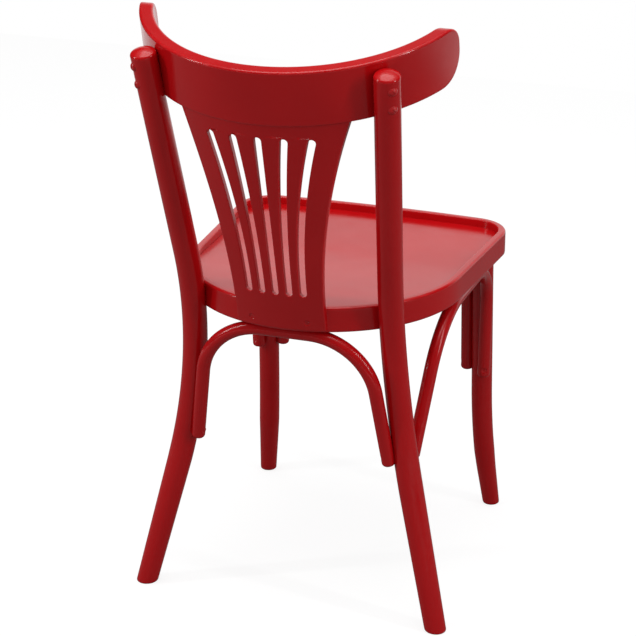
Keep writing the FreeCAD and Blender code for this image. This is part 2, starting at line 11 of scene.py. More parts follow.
import bmesh
import bpy
import numpy as np
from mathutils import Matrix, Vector


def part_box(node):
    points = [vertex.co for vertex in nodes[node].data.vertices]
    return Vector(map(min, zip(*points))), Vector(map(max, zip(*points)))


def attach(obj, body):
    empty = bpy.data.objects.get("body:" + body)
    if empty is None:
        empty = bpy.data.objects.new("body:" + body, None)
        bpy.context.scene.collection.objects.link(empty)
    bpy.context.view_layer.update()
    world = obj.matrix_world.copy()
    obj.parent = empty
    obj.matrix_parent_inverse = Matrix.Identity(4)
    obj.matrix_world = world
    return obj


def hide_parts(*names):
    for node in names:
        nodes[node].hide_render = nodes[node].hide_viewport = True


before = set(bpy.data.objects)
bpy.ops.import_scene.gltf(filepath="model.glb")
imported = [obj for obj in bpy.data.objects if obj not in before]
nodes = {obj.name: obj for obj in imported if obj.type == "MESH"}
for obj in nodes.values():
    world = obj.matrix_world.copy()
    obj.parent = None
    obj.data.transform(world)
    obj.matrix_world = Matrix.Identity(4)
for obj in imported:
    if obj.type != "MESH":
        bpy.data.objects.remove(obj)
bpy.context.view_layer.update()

# %% [markdown]
# ## The sizes that the skins share
# On the real chair everything is set out from the seat: the legs stand against its ring, the
# splat rises from it and the arches lie under it. The seat's height and back line are read from
# the model, so the skins follow it; the other numbers are the chair's own driving sizes. Those
# of one piece alone are written where that piece is made.

# %% Sizes of the seat and of the leaning back
SEAT_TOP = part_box("seat_ring")[1].z
BACK_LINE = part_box("seat_ring")[1].y
RING_HEIGHT = 0.036
RING_WIDTH = 0.030
RING_BOTTOM = SEAT_TOP - RING_HEIGHT
SEAT_BACK_RADIUS = 0.196
SEAT_HALF_WIDTH = 0.2065
SEAT_DEPTH = 0.436
CREST_LEAN = math.radians(12.8)
CREST_RADIUS = 0.223
CREST_HEIGHT = 0.0765
CREST_BOTTOM = SEAT_TOP + 0.2725
SPLAT_LEAN = math.radians(15.0)
SPLAT_MEET = RING_BOTTOM + 0.023
SPLAT_THICKNESS = 0.009
SPLAT_RECESS = 0.0015
print("seat top", round(SEAT_TOP, 4), "back line", round(BACK_LINE, 4))


# %% [markdown]
# ## One helper for every skin
# Each wooden piece is closed and smooth all round. Its skin could be modelled by hand or taken
# over from the measured solid, but that solid's triangles would show as facets in the gloss. So
# a skin is a grid of points worked out by a formula. Grids that meet are joined where their
# points coincide, which closes seams and poles, and the normals are then turned outwards. Each
# corner carries a UV in metres, so a brush mark or a pore keeps its real size on every piece,
# and each point carries how near it is to a rounded edge, where lacquer lies thinner.

# %% Grids to closed skins
WELD = 2e-6
WORN_EDGE = np.array([0.5, 1.0, 1.0, 0.5])


def unit(v):
    """Vectors scaled to length one."""
    v = np.asarray(v, float)
    return v / np.linalg.norm(v, axis=-1, keepdims=True)


def grid_corners(rows, cols, wrap_rows, wrap_cols):
    """Row and column numbers of the four corners of every quad of a grid, not yet wrapped."""
    i = np.arange(rows if wrap_rows else rows - 1)
    j = np.arange(cols if wrap_cols else cols - 1)
    a, b = np.meshgrid(i, j, indexing="ij")
    row = np.stack([a, a + 1, a + 1, a], axis=-1).reshape(-1, 4)
    col = np.stack([b, b, b + 1, b + 1], axis=-1).reshape(-1, 4)
    return row, col


def patch(points, u, v, wrap=(False, False), edge=0.0):
    """A grid of points and its UV in metres, given per row and per column, or for every point."""
    points = np.asarray(points, float)
    rows, cols = points.shape[:2]
    full = (rows + wrap[0], cols + wrap[1])
    u, v = np.asarray(u), np.asarray(v)
    if u.ndim == 2:
        u, v = [np.pad(a, ((0, wrap[0]), (0, wrap[1])), mode="wrap") for a in (u, v)]
    else:
        u, v = np.broadcast_to(u[:, None], full), np.broadcast_to(v, full)
    edge = np.broadcast_to(edge, (rows, cols))
    return {"points": points, "u": u, "v": v, "wrap": wrap, "edge": edge}


def skin(name, patches, node):
    """One closed mesh from patches joined where they touch, standing for a node of the model.

    The patches are set out from the seat's back line and moved to the model's place here."""
    verts, quads, uvs, edges, start = [], [], [], [], 0
    for p in patches:
        rows, cols = p["points"].shape[:2]
        row, col = grid_corners(rows, cols, *p["wrap"])
        quads.append(start + (row % rows) * cols + col % cols)
        uvs.append(np.stack([p["u"][row, col], p["v"][row, col]], axis=-1))
        verts.append(p["points"].reshape(-1, 3) + [0, BACK_LINE, 0])
        edges.append(p["edge"].reshape(-1))
        start += rows * cols
    mesh = bpy.data.meshes.new(name)
    mesh.from_pydata(np.vstack(verts).tolist(), [], np.vstack(quads).tolist())
    layer = mesh.uv_layers.new(name="UVMap")
    layer.data.foreach_set("uv", np.vstack(uvs).astype(np.float32).ravel())
    worn = mesh.attributes.new("edge", "FLOAT", "POINT")
    worn.data.foreach_set("value", np.concatenate(edges).astype(np.float32))
    bm = bmesh.new()
    bm.from_mesh(mesh)
    bmesh.ops.remove_doubles(bm, verts=bm.verts, dist=WELD)
    bmesh.ops.recalc_face_normals(bm, faces=bm.faces)
    open_edges = sum(1 for e in bm.edges if len(e.link_faces) != 2)
    bm.to_mesh(mesh)
    bm.free()
    mesh.polygons.foreach_set("use_smooth", np.ones(len(mesh.polygons), bool))
    piece = bpy.data.objects.new(name, mesh)
    bpy.context.scene.collection.objects.link(piece)
    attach(piece, "root")
    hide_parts(node)
    print(name, len(mesh.polygons), "faces, open edges", open_edges)
    return piece


def flipped(points):
    """The same grid on the other side of the chair."""
    return points * np.array([-1.0, 1.0, 1.0])


print("points nearer than", WELD, "are joined")

# %% [markdown]
# ## Paths of bent rods
# A steamed rod is straight runs joined by arcs, as the bending form leaves it. It could be drawn
# as a Bezier curve, whose bends have no single radius, so true arcs are worked out instead. The
# path is sampled finely, then thinned to even steps, but kept fine near a screw, where the skin
# is pressed into a small dish.

# %% Straight runs joined by tangent arcs
FINE_STEP = 0.0005
ARCH_DIAMETER = 0.019


def straight(start, end):
    """Points from start to end, one fine step apart, and their direction."""
    count = max(2, int(np.linalg.norm(end - start) / FINE_STEP))
    t = np.linspace(0, 1, count)[:, None]
    return start + (end - start) * t, np.repeat(unit(end - start)[None], count, axis=0)


def arc(first, a, b, radius):
    """Points on the arc of this radius that leaves first along a and ends along b."""
    angle = math.acos(float(np.clip(a @ b, -1, 1)))
    towards = unit(b - a * (a @ b))
    t = np.linspace(0, angle, max(4, int(angle * radius / FINE_STEP)))[:, None]
    centre = first + towards * radius
    points = centre - towards * radius * np.cos(t) + a * radius * np.sin(t)
    return points, a * np.cos(t) + towards * np.sin(t)


def bent_path(corners, radii):
    """Runs between corners, each inner corner rounded by a tangent arc of its own radius."""
    corners = [np.asarray(c, float) for c in corners]
    start, points, ways = corners[0], [], []
    for knee, after, radius in zip(corners[1:-1], corners[2:], radii):
        a, b = unit(knee - start), unit(after - knee)
        reach = radius * math.tan(math.acos(float(a @ b)) / 2)
        for run in (straight(start, knee - a * reach), arc(knee - a * reach, a, b, radius)):
            points.append(run[0][:-1])
            ways.append(run[1][:-1])
        start = knee + b * reach
    run = straight(start, corners[-1])
    return np.vstack(points + [run[0]]), np.vstack(ways + [run[1]])


def thinned(points, ways, step, places=(), reach=0.007):
    """Every few points of a fine path, and all of them near the places given."""
    keep = np.arange(len(points)) % int(step / FINE_STEP) == 0
    keep[[0, -1]] = True
    for place in places:
        near = np.linalg.norm(points - place, axis=1) < reach + ARCH_DIAMETER / 2
        keep |= near & (np.arange(len(points)) % 2 == 0)
    return points[keep], ways[keep]


def lengths(points):
    """Distance along a path to each of its points."""
    steps = np.linalg.norm(np.diff(points, axis=0), axis=1)
    return np.concatenate([[0], np.cumsum(steps)])


def at_height(path, height):
    """The point of an upright path at one height."""
    return np.array([np.interp(height, path[:, 2], path[:, k]) for k in range(3)])


def around(centre, radius, degrees):
    """A point level with centre, radius away from it, at an angle counted from +X."""
    a = math.radians(degrees)
    return np.asarray(centre) + radius * np.array([math.cos(a), math.sin(a), 0.0])


print("paths are sampled every", FINE_STEP)

# %% [markdown]
# ## A round rod as a function of two parameters
# A curve with a round bevel would give a rod too, but not its taper, its level foot and its
# domed end in one closed skin. So at each station of the path a circle is drawn with the
# station's radius. A foot is sawn level, so its circles lie level and stretch into slight
# ellipses; further up they turn square to the rod. In direction d of the section's plane the
# skin lies at r / sqrt(1 - (T.d)^2) from the centre, T being the rod's direction. Domed ends are
# stations whose radius runs down to zero.

# %% Rods, feet and domed ends
# Circles on the flat of a sawn end, as shares of the flat's radius
SAWN_SHARES = np.array([0.0, 0.6, 0.97])


def rod_points(path, ways, radii, level, ref, sides):
    """Grid of stations by directions; level says how far each section still lies flat."""
    theta = np.linspace(0, 2 * math.pi, sides, endpoint=False)
    normal = unit(ways * (1 - level[:, None]) + np.array([0, 0, 1.0]) * level[:, None])
    e1 = unit(ref - normal * (normal @ ref)[:, None])
    e2 = np.cross(normal, e1)
    d = e1[:, None] * np.cos(theta)[None, :, None] + e2[:, None] * np.sin(theta)[None, :, None]
    slant = np.einsum("ik,ijk->ij", ways, d)
    reach = radii[:, None] / np.sqrt(1 - slant ** 2)
    return path[:, None] + d * reach[..., None]


def round_over(radius, corner, steps=6):
    """Stations of a rounded end: distance in from the end, and radius there, from the centre."""
    t = np.linspace(0, math.pi / 2, steps)
    inset = corner * (1 - np.sin(t))
    ring = radius - corner + corner * np.cos(t)
    flat = SAWN_SHARES * (radius - corner)
    return (np.concatenate([np.zeros(len(flat)), inset[::-1]]),
            np.concatenate([flat, ring[::-1]]))


def domed(radius, crown, corner, steps=8):
    """Stations of a domed end: a sphere of radius crown blended into the side by a small arc."""
    centre = -crown + math.sqrt((crown - corner) ** 2 - (radius - corner) ** 2)
    top = math.atan2(centre + crown, radius - corner)
    side = np.linspace(0, top, steps)
    cap = np.linspace(top, math.pi / 2, steps)[1:]
    drop = np.concatenate([centre + corner * np.sin(side), crown * np.sin(cap) - crown])
    ring = np.concatenate([radius - corner + corner * np.cos(side), crown * np.cos(cap)])
    ring[-1] = 0
    return -drop, ring


def smooth(t):
    """Runs from 0 to 1 with flat ends as t does."""
    t = np.clip(t, 0, 1)
    return t * t * (3 - 2 * t)


def dished(points, place, inward, radius=0.0044, depth=0.0011, rim=0.0012):
    """Press a round dish into a skin at a screw: flat inside, with a soft rim."""
    offset = points - np.asarray(place)
    along = offset @ inward
    across = np.linalg.norm(offset - along[..., None] * inward, axis=-1)
    press = depth * smooth((radius - across) / rim) * (np.abs(along) < 2 * radius)
    return points + inward * press[..., None]


print("sawn ends have", len(SAWN_SHARES), "circles on their flat")

# %% [markdown]
# ## The legs
# Each rear leg is one steamed rod that runs on upwards as a post of the back. It touches the
# back of the seat ring and the back of the crest rail at the same angle round both. Its line
# could be drawn by eye, but then it would miss one of them, so it is found from these two points
# of contact: a straight run through both, and one long bend below.

# %% Where the crest is, and the lines of the legs
POST_ANGLE = math.radians(47.3)
POST_DIAMETER = 0.0345
POST_TOP = SEAT_TOP + 0.350
POST_SEAT_BITE = 0.0026
POST_CREST_BITE = 0.0016
REAR_FOOT = (0.2175, -0.0245)
REAR_KNEE = SEAT_TOP - 0.115
REAR_BEND = 0.690
REAR_AIMS = 4
FRONT_INSET = 0.037
FRONT_FOOT_OUT = 0.015
FRONT_FOOT_FORWARD = 0.035
FRONT_KNEE_OUT = 0.0025
FRONT_KNEE_FORWARD = 0.011
FRONT_KNEE = 0.130
FRONT_BEND = 0.900
FRONT_OVERRUN = 0.003


def back_at(height):
    """How far behind the seat's back line the splat's front face lies, in the middle."""
    return (height - SPLAT_MEET) * math.tan(SPLAT_LEAN)


CREST_BACK = back_at(CREST_BOTTOM) + SPLAT_THICKNESS / math.cos(SPLAT_LEAN) + SPLAT_RECESS


def leaned(x, y, z):
    """Points of the crest's own upright frame, leaned back about its lower back edge."""
    back = CREST_BACK + y * math.cos(CREST_LEAN) + z * math.sin(CREST_LEAN)
    up = CREST_BOTTOM + z * math.cos(CREST_LEAN) - y * math.sin(CREST_LEAN)
    return np.stack(np.broadcast_arrays(x, back, up), axis=-1)


def rear_leg_path():
    """A straight run from the crest down past the seat, one bend, and a run out to the foot.

    The bend pulls the rod off the seat a little, so the line is aimed again by what it missed."""
    a = POST_ANGLE
    reach = SEAT_BACK_RADIUS + POST_DIAMETER / 2 - POST_SEAT_BITE
    seat = np.array([reach * math.cos(a), reach * math.sin(a) - SEAT_BACK_RADIUS,
                     SEAT_TOP - RING_HEIGHT / 2])
    reach = CREST_RADIUS + POST_DIAMETER / 2 - POST_CREST_BITE
    crest = leaned(reach * math.cos(a), reach * math.sin(a) - CREST_RADIUS, CREST_HEIGHT / 2)
    foot = np.array([*REAR_FOOT, 0.0])
    aim = seat.copy()
    for attempt in range(REAR_AIMS):
        slope = (crest - aim) / (crest[2] - aim[2])
        knee = aim + slope * (REAR_KNEE - aim[2])
        top = aim + slope * (POST_TOP - aim[2])
        path, ways = bent_path([foot, knee, top], [REAR_BEND])
        aim = aim - (at_height(path, seat[2]) - seat)
    return path, ways


def front_leg_path():
    """From the foot in a slight bend to the ring's underside at the seat's front corner.

    The top runs on by a small share of its straight run, so that no gap shows at the ring."""
    top = np.array([SEAT_HALF_WIDTH - FRONT_INSET, FRONT_INSET - SEAT_DEPTH, RING_BOTTOM])
    knee = np.array([top[0] + FRONT_KNEE_OUT, top[1] - FRONT_KNEE_FORWARD, FRONT_KNEE])
    foot = np.array([top[0] + FRONT_FOOT_OUT, top[1] - FRONT_FOOT_FORWARD, 0.0])
    return bent_path([foot, knee, top + (top - knee) * FRONT_OVERRUN], [FRONT_BEND])


REAR_PATH, REAR_WAYS = rear_leg_path()
FRONT_PATH, FRONT_WAYS = front_leg_path()
print("post axis at the seat", at_height(REAR_PATH, SEAT_TOP), "top", REAR_PATH[-1])

# %% [markdown]
# A leg is sawn level at the foot, with a small rounding that keeps it from splitting. The post's
# upper end is a shallow turned dome. Between them the rod tapers only below the bend. A cylinder
# with modifiers could be bent to this, but the stations give foot, taper and dome at once.

# %% Skins of the four legs
LEG_STEP = 0.004
LEG_SIDES = 72
LEVEL_REACH = 0.15
REAR_FOOT_DIAMETER = 0.030
FRONT_FOOT_DIAMETER = 0.025
FRONT_LEG_DIAMETER = 0.031
FOOT_ROUND = 0.003
BUTT_ROUND = 0.0004
DOME_CROWN = 0.030
DOME_CORNER = 0.0045
# The taper of each leg ends where its bend starts
REAR_TAPER_TOP = REAR_KNEE - 0.153
FRONT_TAPER_TOP = FRONT_KNEE - 0.035


def ended(path, ways, radii, inset, ring, at_end):
    """Replace the stations near one straight end of a path by those of its rounded end."""
    tip = path[-1] if at_end else path[0]
    way = ways[-1] if at_end else ways[0]
    far = np.linalg.norm(path - tip, axis=1) > inset.max() + FINE_STEP
    cap = tip + way * (-inset if at_end else inset)[:, None]
    cap_ways = np.repeat(way[None], len(cap), axis=0)
    parts = [(path[far], ways[far], radii[far]), (cap, cap_ways, ring)]
    parts = parts if at_end else parts[::-1]
    return [np.concatenate([p[k] for p in parts]) for k in range(3)]


def leg(name, node, path, ways, foot_d, leg_d, taper_top, top, mirrored):
    """A tapered rod from a sawn foot to the top given as a pair of end stations.

    Its radius grows in proportion to the height, from the foot up to the top of the taper."""
    points, directions = thinned(path, ways, LEG_STEP)
    rise = np.clip(points[:, 2] / taper_top, 0, 1)
    radii = (foot_d + (leg_d - foot_d) * rise) / 2
    foot = round_over(foot_d / 2, FOOT_ROUND)
    points, directions, radii = ended(points, directions, radii, *foot, at_end=False)
    points, directions, radii = ended(points, directions, radii, *top, at_end=True)
    level = 1 - smooth(points[:, 2] / LEVEL_REACH)
    grid = rod_points(points, directions, radii, level, np.array([1.0, 0, 0]), LEG_SIDES)
    if mirrored:
        grid = flipped(grid)
    v = np.linspace(0, math.pi * leg_d, LEG_SIDES + 1)
    return skin(name, [patch(grid, lengths(points), v, (False, True))], node)


DOME = domed(POST_DIAMETER / 2, DOME_CROWN, DOME_CORNER)
BUTT = [a[::-1] for a in round_over(FRONT_LEG_DIAMETER / 2, BUTT_ROUND)]
for side, mirrored in (("left", False), ("right", True)):
    leg("Rear_leg_" + side, "rear_leg_" + side, REAR_PATH, REAR_WAYS, REAR_FOOT_DIAMETER,
        POST_DIAMETER, REAR_TAPER_TOP, DOME, mirrored)
    leg("Front_leg_" + side, "front_leg_" + side, FRONT_PATH, FRONT_WAYS, FRONT_FOOT_DIAMETER,
        FRONT_LEG_DIAMETER, FRONT_TAPER_TOP, BUTT, mirrored)

# %% [markdown]
# ## The bent arches
# Four thinner rods brace the legs against the seat: one across the back, one across the front
# and one along each side. Each lies against its legs with both ends, set into them a little, and
# its crown lies under the ring. The end screws sink into the rod, and paint softens the rims. The
# dishes could be cut with Booleans, which leave a hard, ragged edge; here the skin's own points
# near a screw are pressed in instead.

# %% Paths and skins of the arches
ARCH_STEP = 0.003
ARCH_SIDES = 96
ARCH_BITE = 0.002
ARCH_END = SEAT_TOP - 0.233
ARCH_END_ROUND = 0.005
REAR_CORNER = 0.092
FRONT_CORNER = 0.080
SIDE_CORNERS = (0.105, 0.070)
REAR_TURN = 23.0
SIDE_TURN = 69.0
REAR_NARROWING = 0.027
FRONT_NARROWING = 0.003
FRONT_FORWARD = 0.006
SIDE_REAR_RUN = 0.062
SIDE_INSET = 0.023
END_SCREW_RISE = 0.012
CROWN_HEIGHT = RING_BOTTOM - ARCH_DIAMETER / 2
REAR_CROWN = -RING_WIDTH * 2 / 3
FRONT_CROWN = FRONT_INSET - SEAT_DEPTH - FRONT_FORWARD


def beside_rear(height, degrees):
    """A point of an arch's centre line that lies against a rear leg."""
    reach = POST_DIAMETER / 2 + ARCH_DIAMETER / 2 - ARCH_BITE
    return around(at_height(REAR_PATH, height), reach, degrees)


def beside_front(height, degrees):
    """A point of an arch's centre line that lies against a front leg."""
    reach = FRONT_LEG_DIAMETER / 2 + ARCH_DIAMETER / 2 - ARCH_BITE
    return around(at_height(FRONT_PATH, height), reach, degrees)


def across(end, narrowing, crown_y):
    """Corners of an arch across the chair, from its end on the +X side."""
    knee = np.array([end[0] - narrowing, crown_y, CROWN_HEIGHT])
    return [end, knee, flipped(knee), flipped(end)]


def arch(name, node, corners, radii, screws, mirrored=False):
    """A round rod along its corners, dished where each screw goes in."""
    path, ways = bent_path(corners, radii)
    points, directions = thinned(path, ways, ARCH_STEP, [place for place, inward in screws])
    radius = np.full(len(points), ARCH_DIAMETER / 2)
    tip = round_over(ARCH_DIAMETER / 2, ARCH_END_ROUND)
    points, directions, radius = ended(points, directions, radius, *tip, at_end=False)
    tip = [a[::-1] for a in tip]
    points, directions, radius = ended(points, directions, radius, *tip, at_end=True)
    across_plane = unit(np.cross(corners[1] - corners[0], corners[2] - corners[1]))
    grid = rod_points(points, directions, radius, np.zeros(len(points)), across_plane, ARCH_SIDES)
    for place, inward in screws:
        grid = dished(grid, place, inward)
    if mirrored:
        grid = flipped(grid)
    v = np.linspace(0, math.pi * ARCH_DIAMETER, ARCH_SIDES + 1)
    return skin(name, [patch(grid, lengths(points), v, (False, True))], node)


def end_screw(beside, degrees):
    """Where an end screw enters the arch's free side, and the way it goes."""
    out = around(np.zeros(3), 1.0, degrees)
    return beside(ARCH_END + END_SCREW_RISE, degrees) + out * ARCH_DIAMETER / 2, -out


def both(screw):
    """A screw, given by its place and its way in, and the same one on the other side."""
    return [screw, (flipped(screw[0]), flipped(screw[1]))]


rear_end = beside_rear(ARCH_END, 180 - REAR_TURN)
front_end = beside_front(ARCH_END, 180)
side_rear = beside_rear(ARCH_END, -90)
side_x = SEAT_HALF_WIDTH - SIDE_INSET
side_corners = [side_rear, np.array([side_x, side_rear[1] - SIDE_REAR_RUN, CROWN_HEIGHT]),
                np.array([side_x, beside_front(RING_BOTTOM, SIDE_TURN)[1], CROWN_HEIGHT]),
                beside_front(ARCH_END, SIDE_TURN)]
side_screws = [end_screw(beside_rear, -90), end_screw(beside_front, SIDE_TURN)]
arch("Rear_arch", "rear_arch", across(rear_end, REAR_NARROWING, REAR_CROWN),
     (REAR_CORNER, REAR_CORNER), both(end_screw(beside_rear, 180 - REAR_TURN)))
arch("Front_arch", "front_arch", across(front_end, FRONT_NARROWING, FRONT_CROWN),
     (FRONT_CORNER, FRONT_CORNER), both(end_screw(beside_front, 180)))
for side, mirrored in (("left", False), ("right", True)):
    arch("Side_arch_" + side, "side_arch_" + side, side_corners, SIDE_CORNERS, side_screws,
         mirrored)

# %% [markdown]
# ## The seat: a bent ring with a dished panel let into it
# The ring is one bent hoop, and the panel a moulded sheet glued into its rebate. The outline is a
# half round back, straight sides, small corners and a bowed front. A Bevel modifier on a cut-out
# board would round the ring's edges, but the lip gets lower towards the back, where its rounding
# has to shrink with it. So the outline is sampled once with its outward direction, and a point
# further in is that point moved inwards: every line of the ring's section is parallel to the
# outline. The panel's top dips from flush at the back to 11 mm at the front.

# %% The seat's outline and dish
OUTLINE_STEP = 0.004
SEAT_CORNER = 0.054
SEAT_BOW = 2.2
PANEL_DISH = 0.011
DISH_START = 0.020
DISH_RUN = 0.250
DISH_HANDLES = (0.25, 0.75)


def seat_outline():
    """Points of the closed outline and their outward directions, from the back round by +X."""
    back = np.array([0, -SEAT_BACK_RADIUS])
    bow = np.array([0, SEAT_BOW - SEAT_DEPTH])
    corner_x = SEAT_HALF_WIDTH - SEAT_CORNER
    corner = np.array([corner_x, bow[1] - math.sqrt((SEAT_BOW - SEAT_CORNER) ** 2 - corner_x ** 2)])
    reach = corner - back
    side = math.atan2(reach[1], reach[0])
    side += math.acos((SEAT_BACK_RADIUS - SEAT_CORNER) / np.linalg.norm(reach))
    front = math.atan2(corner[1] - bow[1], corner[0])
    points, outward = [], []
    arcs = ((back, SEAT_BACK_RADIUS, math.pi / 2, side), (corner, SEAT_CORNER, side, front),
            (bow, SEAT_BOW, front, -math.pi / 2))
    for centre, radius, first, last in arcs:
        count = max(12, int(abs(first - last) * radius / OUTLINE_STEP))
        angle = np.linspace(first, last, count)
        way = np.stack([np.cos(angle), np.sin(angle)], axis=1)
        if points:
            gap = centre + way[0] * radius - points[-1][-1]
            steps = int(np.linalg.norm(gap) / OUTLINE_STEP)
            t = np.linspace(0, 1, steps + 1)[1:-1, None] if steps > 1 else np.zeros((0, 1))
            points.append(points[-1][-1] + gap * t)
            outward.append(np.repeat(way[:1], len(t), axis=0))
            way = way if steps > 1 else way[1:]
        points.append(centre + way * radius)
        outward.append(way)
    points, outward = np.vstack(points), np.vstack(outward)
    mirror = np.array([-1.0, 1.0])
    return (np.vstack([points, points[-2:0:-1] * mirror]),
            np.vstack([outward, outward[-2:0:-1] * mirror]))


def dish(y):
    """How far the panel's top lies below the ring's: a Bezier curve from back to front.

    It starts and ends level, with its handles at two shares of its run."""
    t = np.linspace(0, 1, 200)
    start, early, late, end = (1 - t) ** 3, 3 * (1 - t) ** 2 * t, 3 * (1 - t) * t ** 2, t ** 3
    run = DISH_RUN * (early * DISH_HANDLES[0] + late * DISH_HANDLES[1] + end) - DISH_START * start
    return np.interp(-np.asarray(y), run, PANEL_DISH * (late + end))


OUTLINE, OUTWARD = seat_outline()
AROUND = lengths(np.vstack([OUTLINE, OUTLINE[:1]]))
print("the seat is", round(AROUND[-1], 3), "m round its outline")

# %% [markdown]
# The ring's section is one closed line: up the outside, over the rim, down the lip to the panel,
# along the rebate and back underneath. Paint is thinnest on its three rounded edges. The panel
# could be a filled outline, but a fill has no rows for the dish to follow. It is rings of points
# instead, which shrink from its edge to one point in its middle.

# %% Ring and panel
RING_LIP = 0.011
OUTER_ROUND = 0.0035
LIP_ROUND = 0.0020
LIP_ROUND_LEAST = 0.0004
LIP_ROUND_SHARE = 0.8
LIP_LINE_SHARE = 0.3
LOWER_ROUND = 0.0020
OUTER_WALL_INSET = 0.006
RIM_LINES = np.array([[0.0045, 0.0080]])
BELOW_PANEL_TOP = 0.003
# Columns of the ring's section on its lower outer, upper outer and lip rounding
RING_EDGES = (3, 13, 21)
PANEL_THICKNESS = 0.007
PANEL_ROUND = 0.0006
PANEL_MIDDLE = np.array([0.0, -SEAT_DEPTH * 0.48])
PANEL_SHARES = np.concatenate([[0, 0.02], np.linspace(0.08, 0.92, 18), [0.96, 0.985]])


def seat_grid(insets, heights):
    """Points at each inset from the outline, at heights given per point of the outline."""
    insets = np.broadcast_to(insets, (len(OUTLINE), np.shape(insets)[-1]))
    flat = OUTLINE[:, None] - OUTWARD[:, None] * insets[..., None]
    return np.dstack([flat, np.broadcast_to(heights, insets.shape)])


def seat_ring():
    """The ring's section, carried round the outline: outside, rim, rebate, inside, underside."""
    count = len(OUTLINE)
    quarter = np.linspace(0, math.pi / 2, 7)
    drop = dish(OUTLINE[:, 1] - OUTWARD[:, 1] * RING_LIP)[:, None]
    lip = np.clip(LIP_ROUND_SHARE * drop, LIP_ROUND_LEAST, LIP_ROUND)
    ones = np.ones((count, 1))
    out_r = OUTER_ROUND
    columns = [
        (out_r * (1 - np.sin(quarter)) * ones, (RING_BOTTOM + out_r * (1 - np.cos(quarter))) * ones),
        (np.zeros((count, 3)),
         np.linspace(RING_BOTTOM + OUTER_WALL_INSET, SEAT_TOP - OUTER_WALL_INSET, 3) * ones),
        (out_r * (1 - np.cos(quarter)) * ones, (SEAT_TOP - out_r * (1 - np.sin(quarter))) * ones),
        (RIM_LINES * ones, SEAT_TOP * np.ones((count, 2))),
        (RING_LIP - lip * (1 - np.sin(quarter)), SEAT_TOP - lip * (1 - np.cos(quarter))),
        (RING_LIP * np.ones((count, 2)),
         SEAT_TOP - np.hstack([lip + LIP_LINE_SHARE * drop, drop + BELOW_PANEL_TOP])),
        (RING_LIP * ones, SEAT_TOP - drop - PANEL_THICKNESS),
        (RING_WIDTH * ones, SEAT_TOP - drop - PANEL_THICKNESS),
        (RING_WIDTH - LOWER_ROUND * (1 - np.cos(quarter)) * ones,
         (RING_BOTTOM + LOWER_ROUND * (1 - np.sin(quarter))) * ones),
    ]
    insets = np.hstack([c[0] for c in columns])
    heights = np.hstack([c[1] for c in columns])
    near = np.zeros(insets.shape[1])
    for column in RING_EDGES:
        near[column - 1:column + 2] = (0.5, 1.0, 0.5)
    grid = seat_grid(insets, heights)
    v = np.linspace(0, 2 * (RING_HEIGHT + RING_WIDTH), insets.shape[1] + 1)
    return skin("Seat_ring", [patch(grid, AROUND, v, (True, True), near[None])], "seat_ring")


def seat_panel():
    """The dished sheet: rings that shrink from its edge to its middle, above and below."""
    quarter = np.linspace(0, math.pi / 2, 5)
    inset = RING_LIP + PANEL_ROUND * (1 - np.sin(quarter))
    rim = OUTLINE[:, None] - OUTWARD[:, None] * inset[None, :, None]
    inner = PANEL_MIDDLE + (rim[:, :1] - PANEL_MIDDLE) * PANEL_SHARES[None, :, None]
    flat = np.concatenate([inner, rim], axis=1)
    drop = dish(flat[..., 1])
    low = np.concatenate([np.zeros(len(PANEL_SHARES)), PANEL_ROUND * (1 - np.cos(quarter))])
    top = np.dstack([flat, SEAT_TOP - drop - low])
    under = np.dstack([flat, SEAT_TOP - drop - PANEL_THICKNESS + low])[:, ::-1]
    grid = np.concatenate([top, under], axis=1)
    flat_patch = patch(grid, grid[..., 1], grid[..., 0], (True, False))
    return skin("Seat_panel", [flat_patch], "seat_panel")


seat_ring()
seat_panel()

# %% [markdown]
# ## The crest rail
# The crest is a band of a round shell, bent from one thick board, and its front ends are cut to a
# rounded tip. A bent and bevelled box would come close, but would pinch at the tips. So the skin
# is a loop round the face's outline, repeated from a line along the outer face's middle out to
# its edge, over the quarter round, across the wall, and back in to the inner face's middle.

# %% The crest's outline and skin
CREST_THICKNESS = 0.019
CREST_REACH = 0.178
CREST_TOP_CORNER = 0.026
CREST_LOW_CORNER = 0.042
CREST_ROUND = 0.003
CREST_GUARD = 0.001
CREST_WALL_INSET = 0.004
CREST_COLUMNS = 92
CORNER_ROWS = 14
FACE_LOOPS = 7
ROUND_LOOPS = 7
WALL_LOOPS = 3
# Angles from the crest's middle over which its ends turn from square cut to flush, in radians
FLUSH_FROM = 0.5
FLUSH_RUN = 0.4


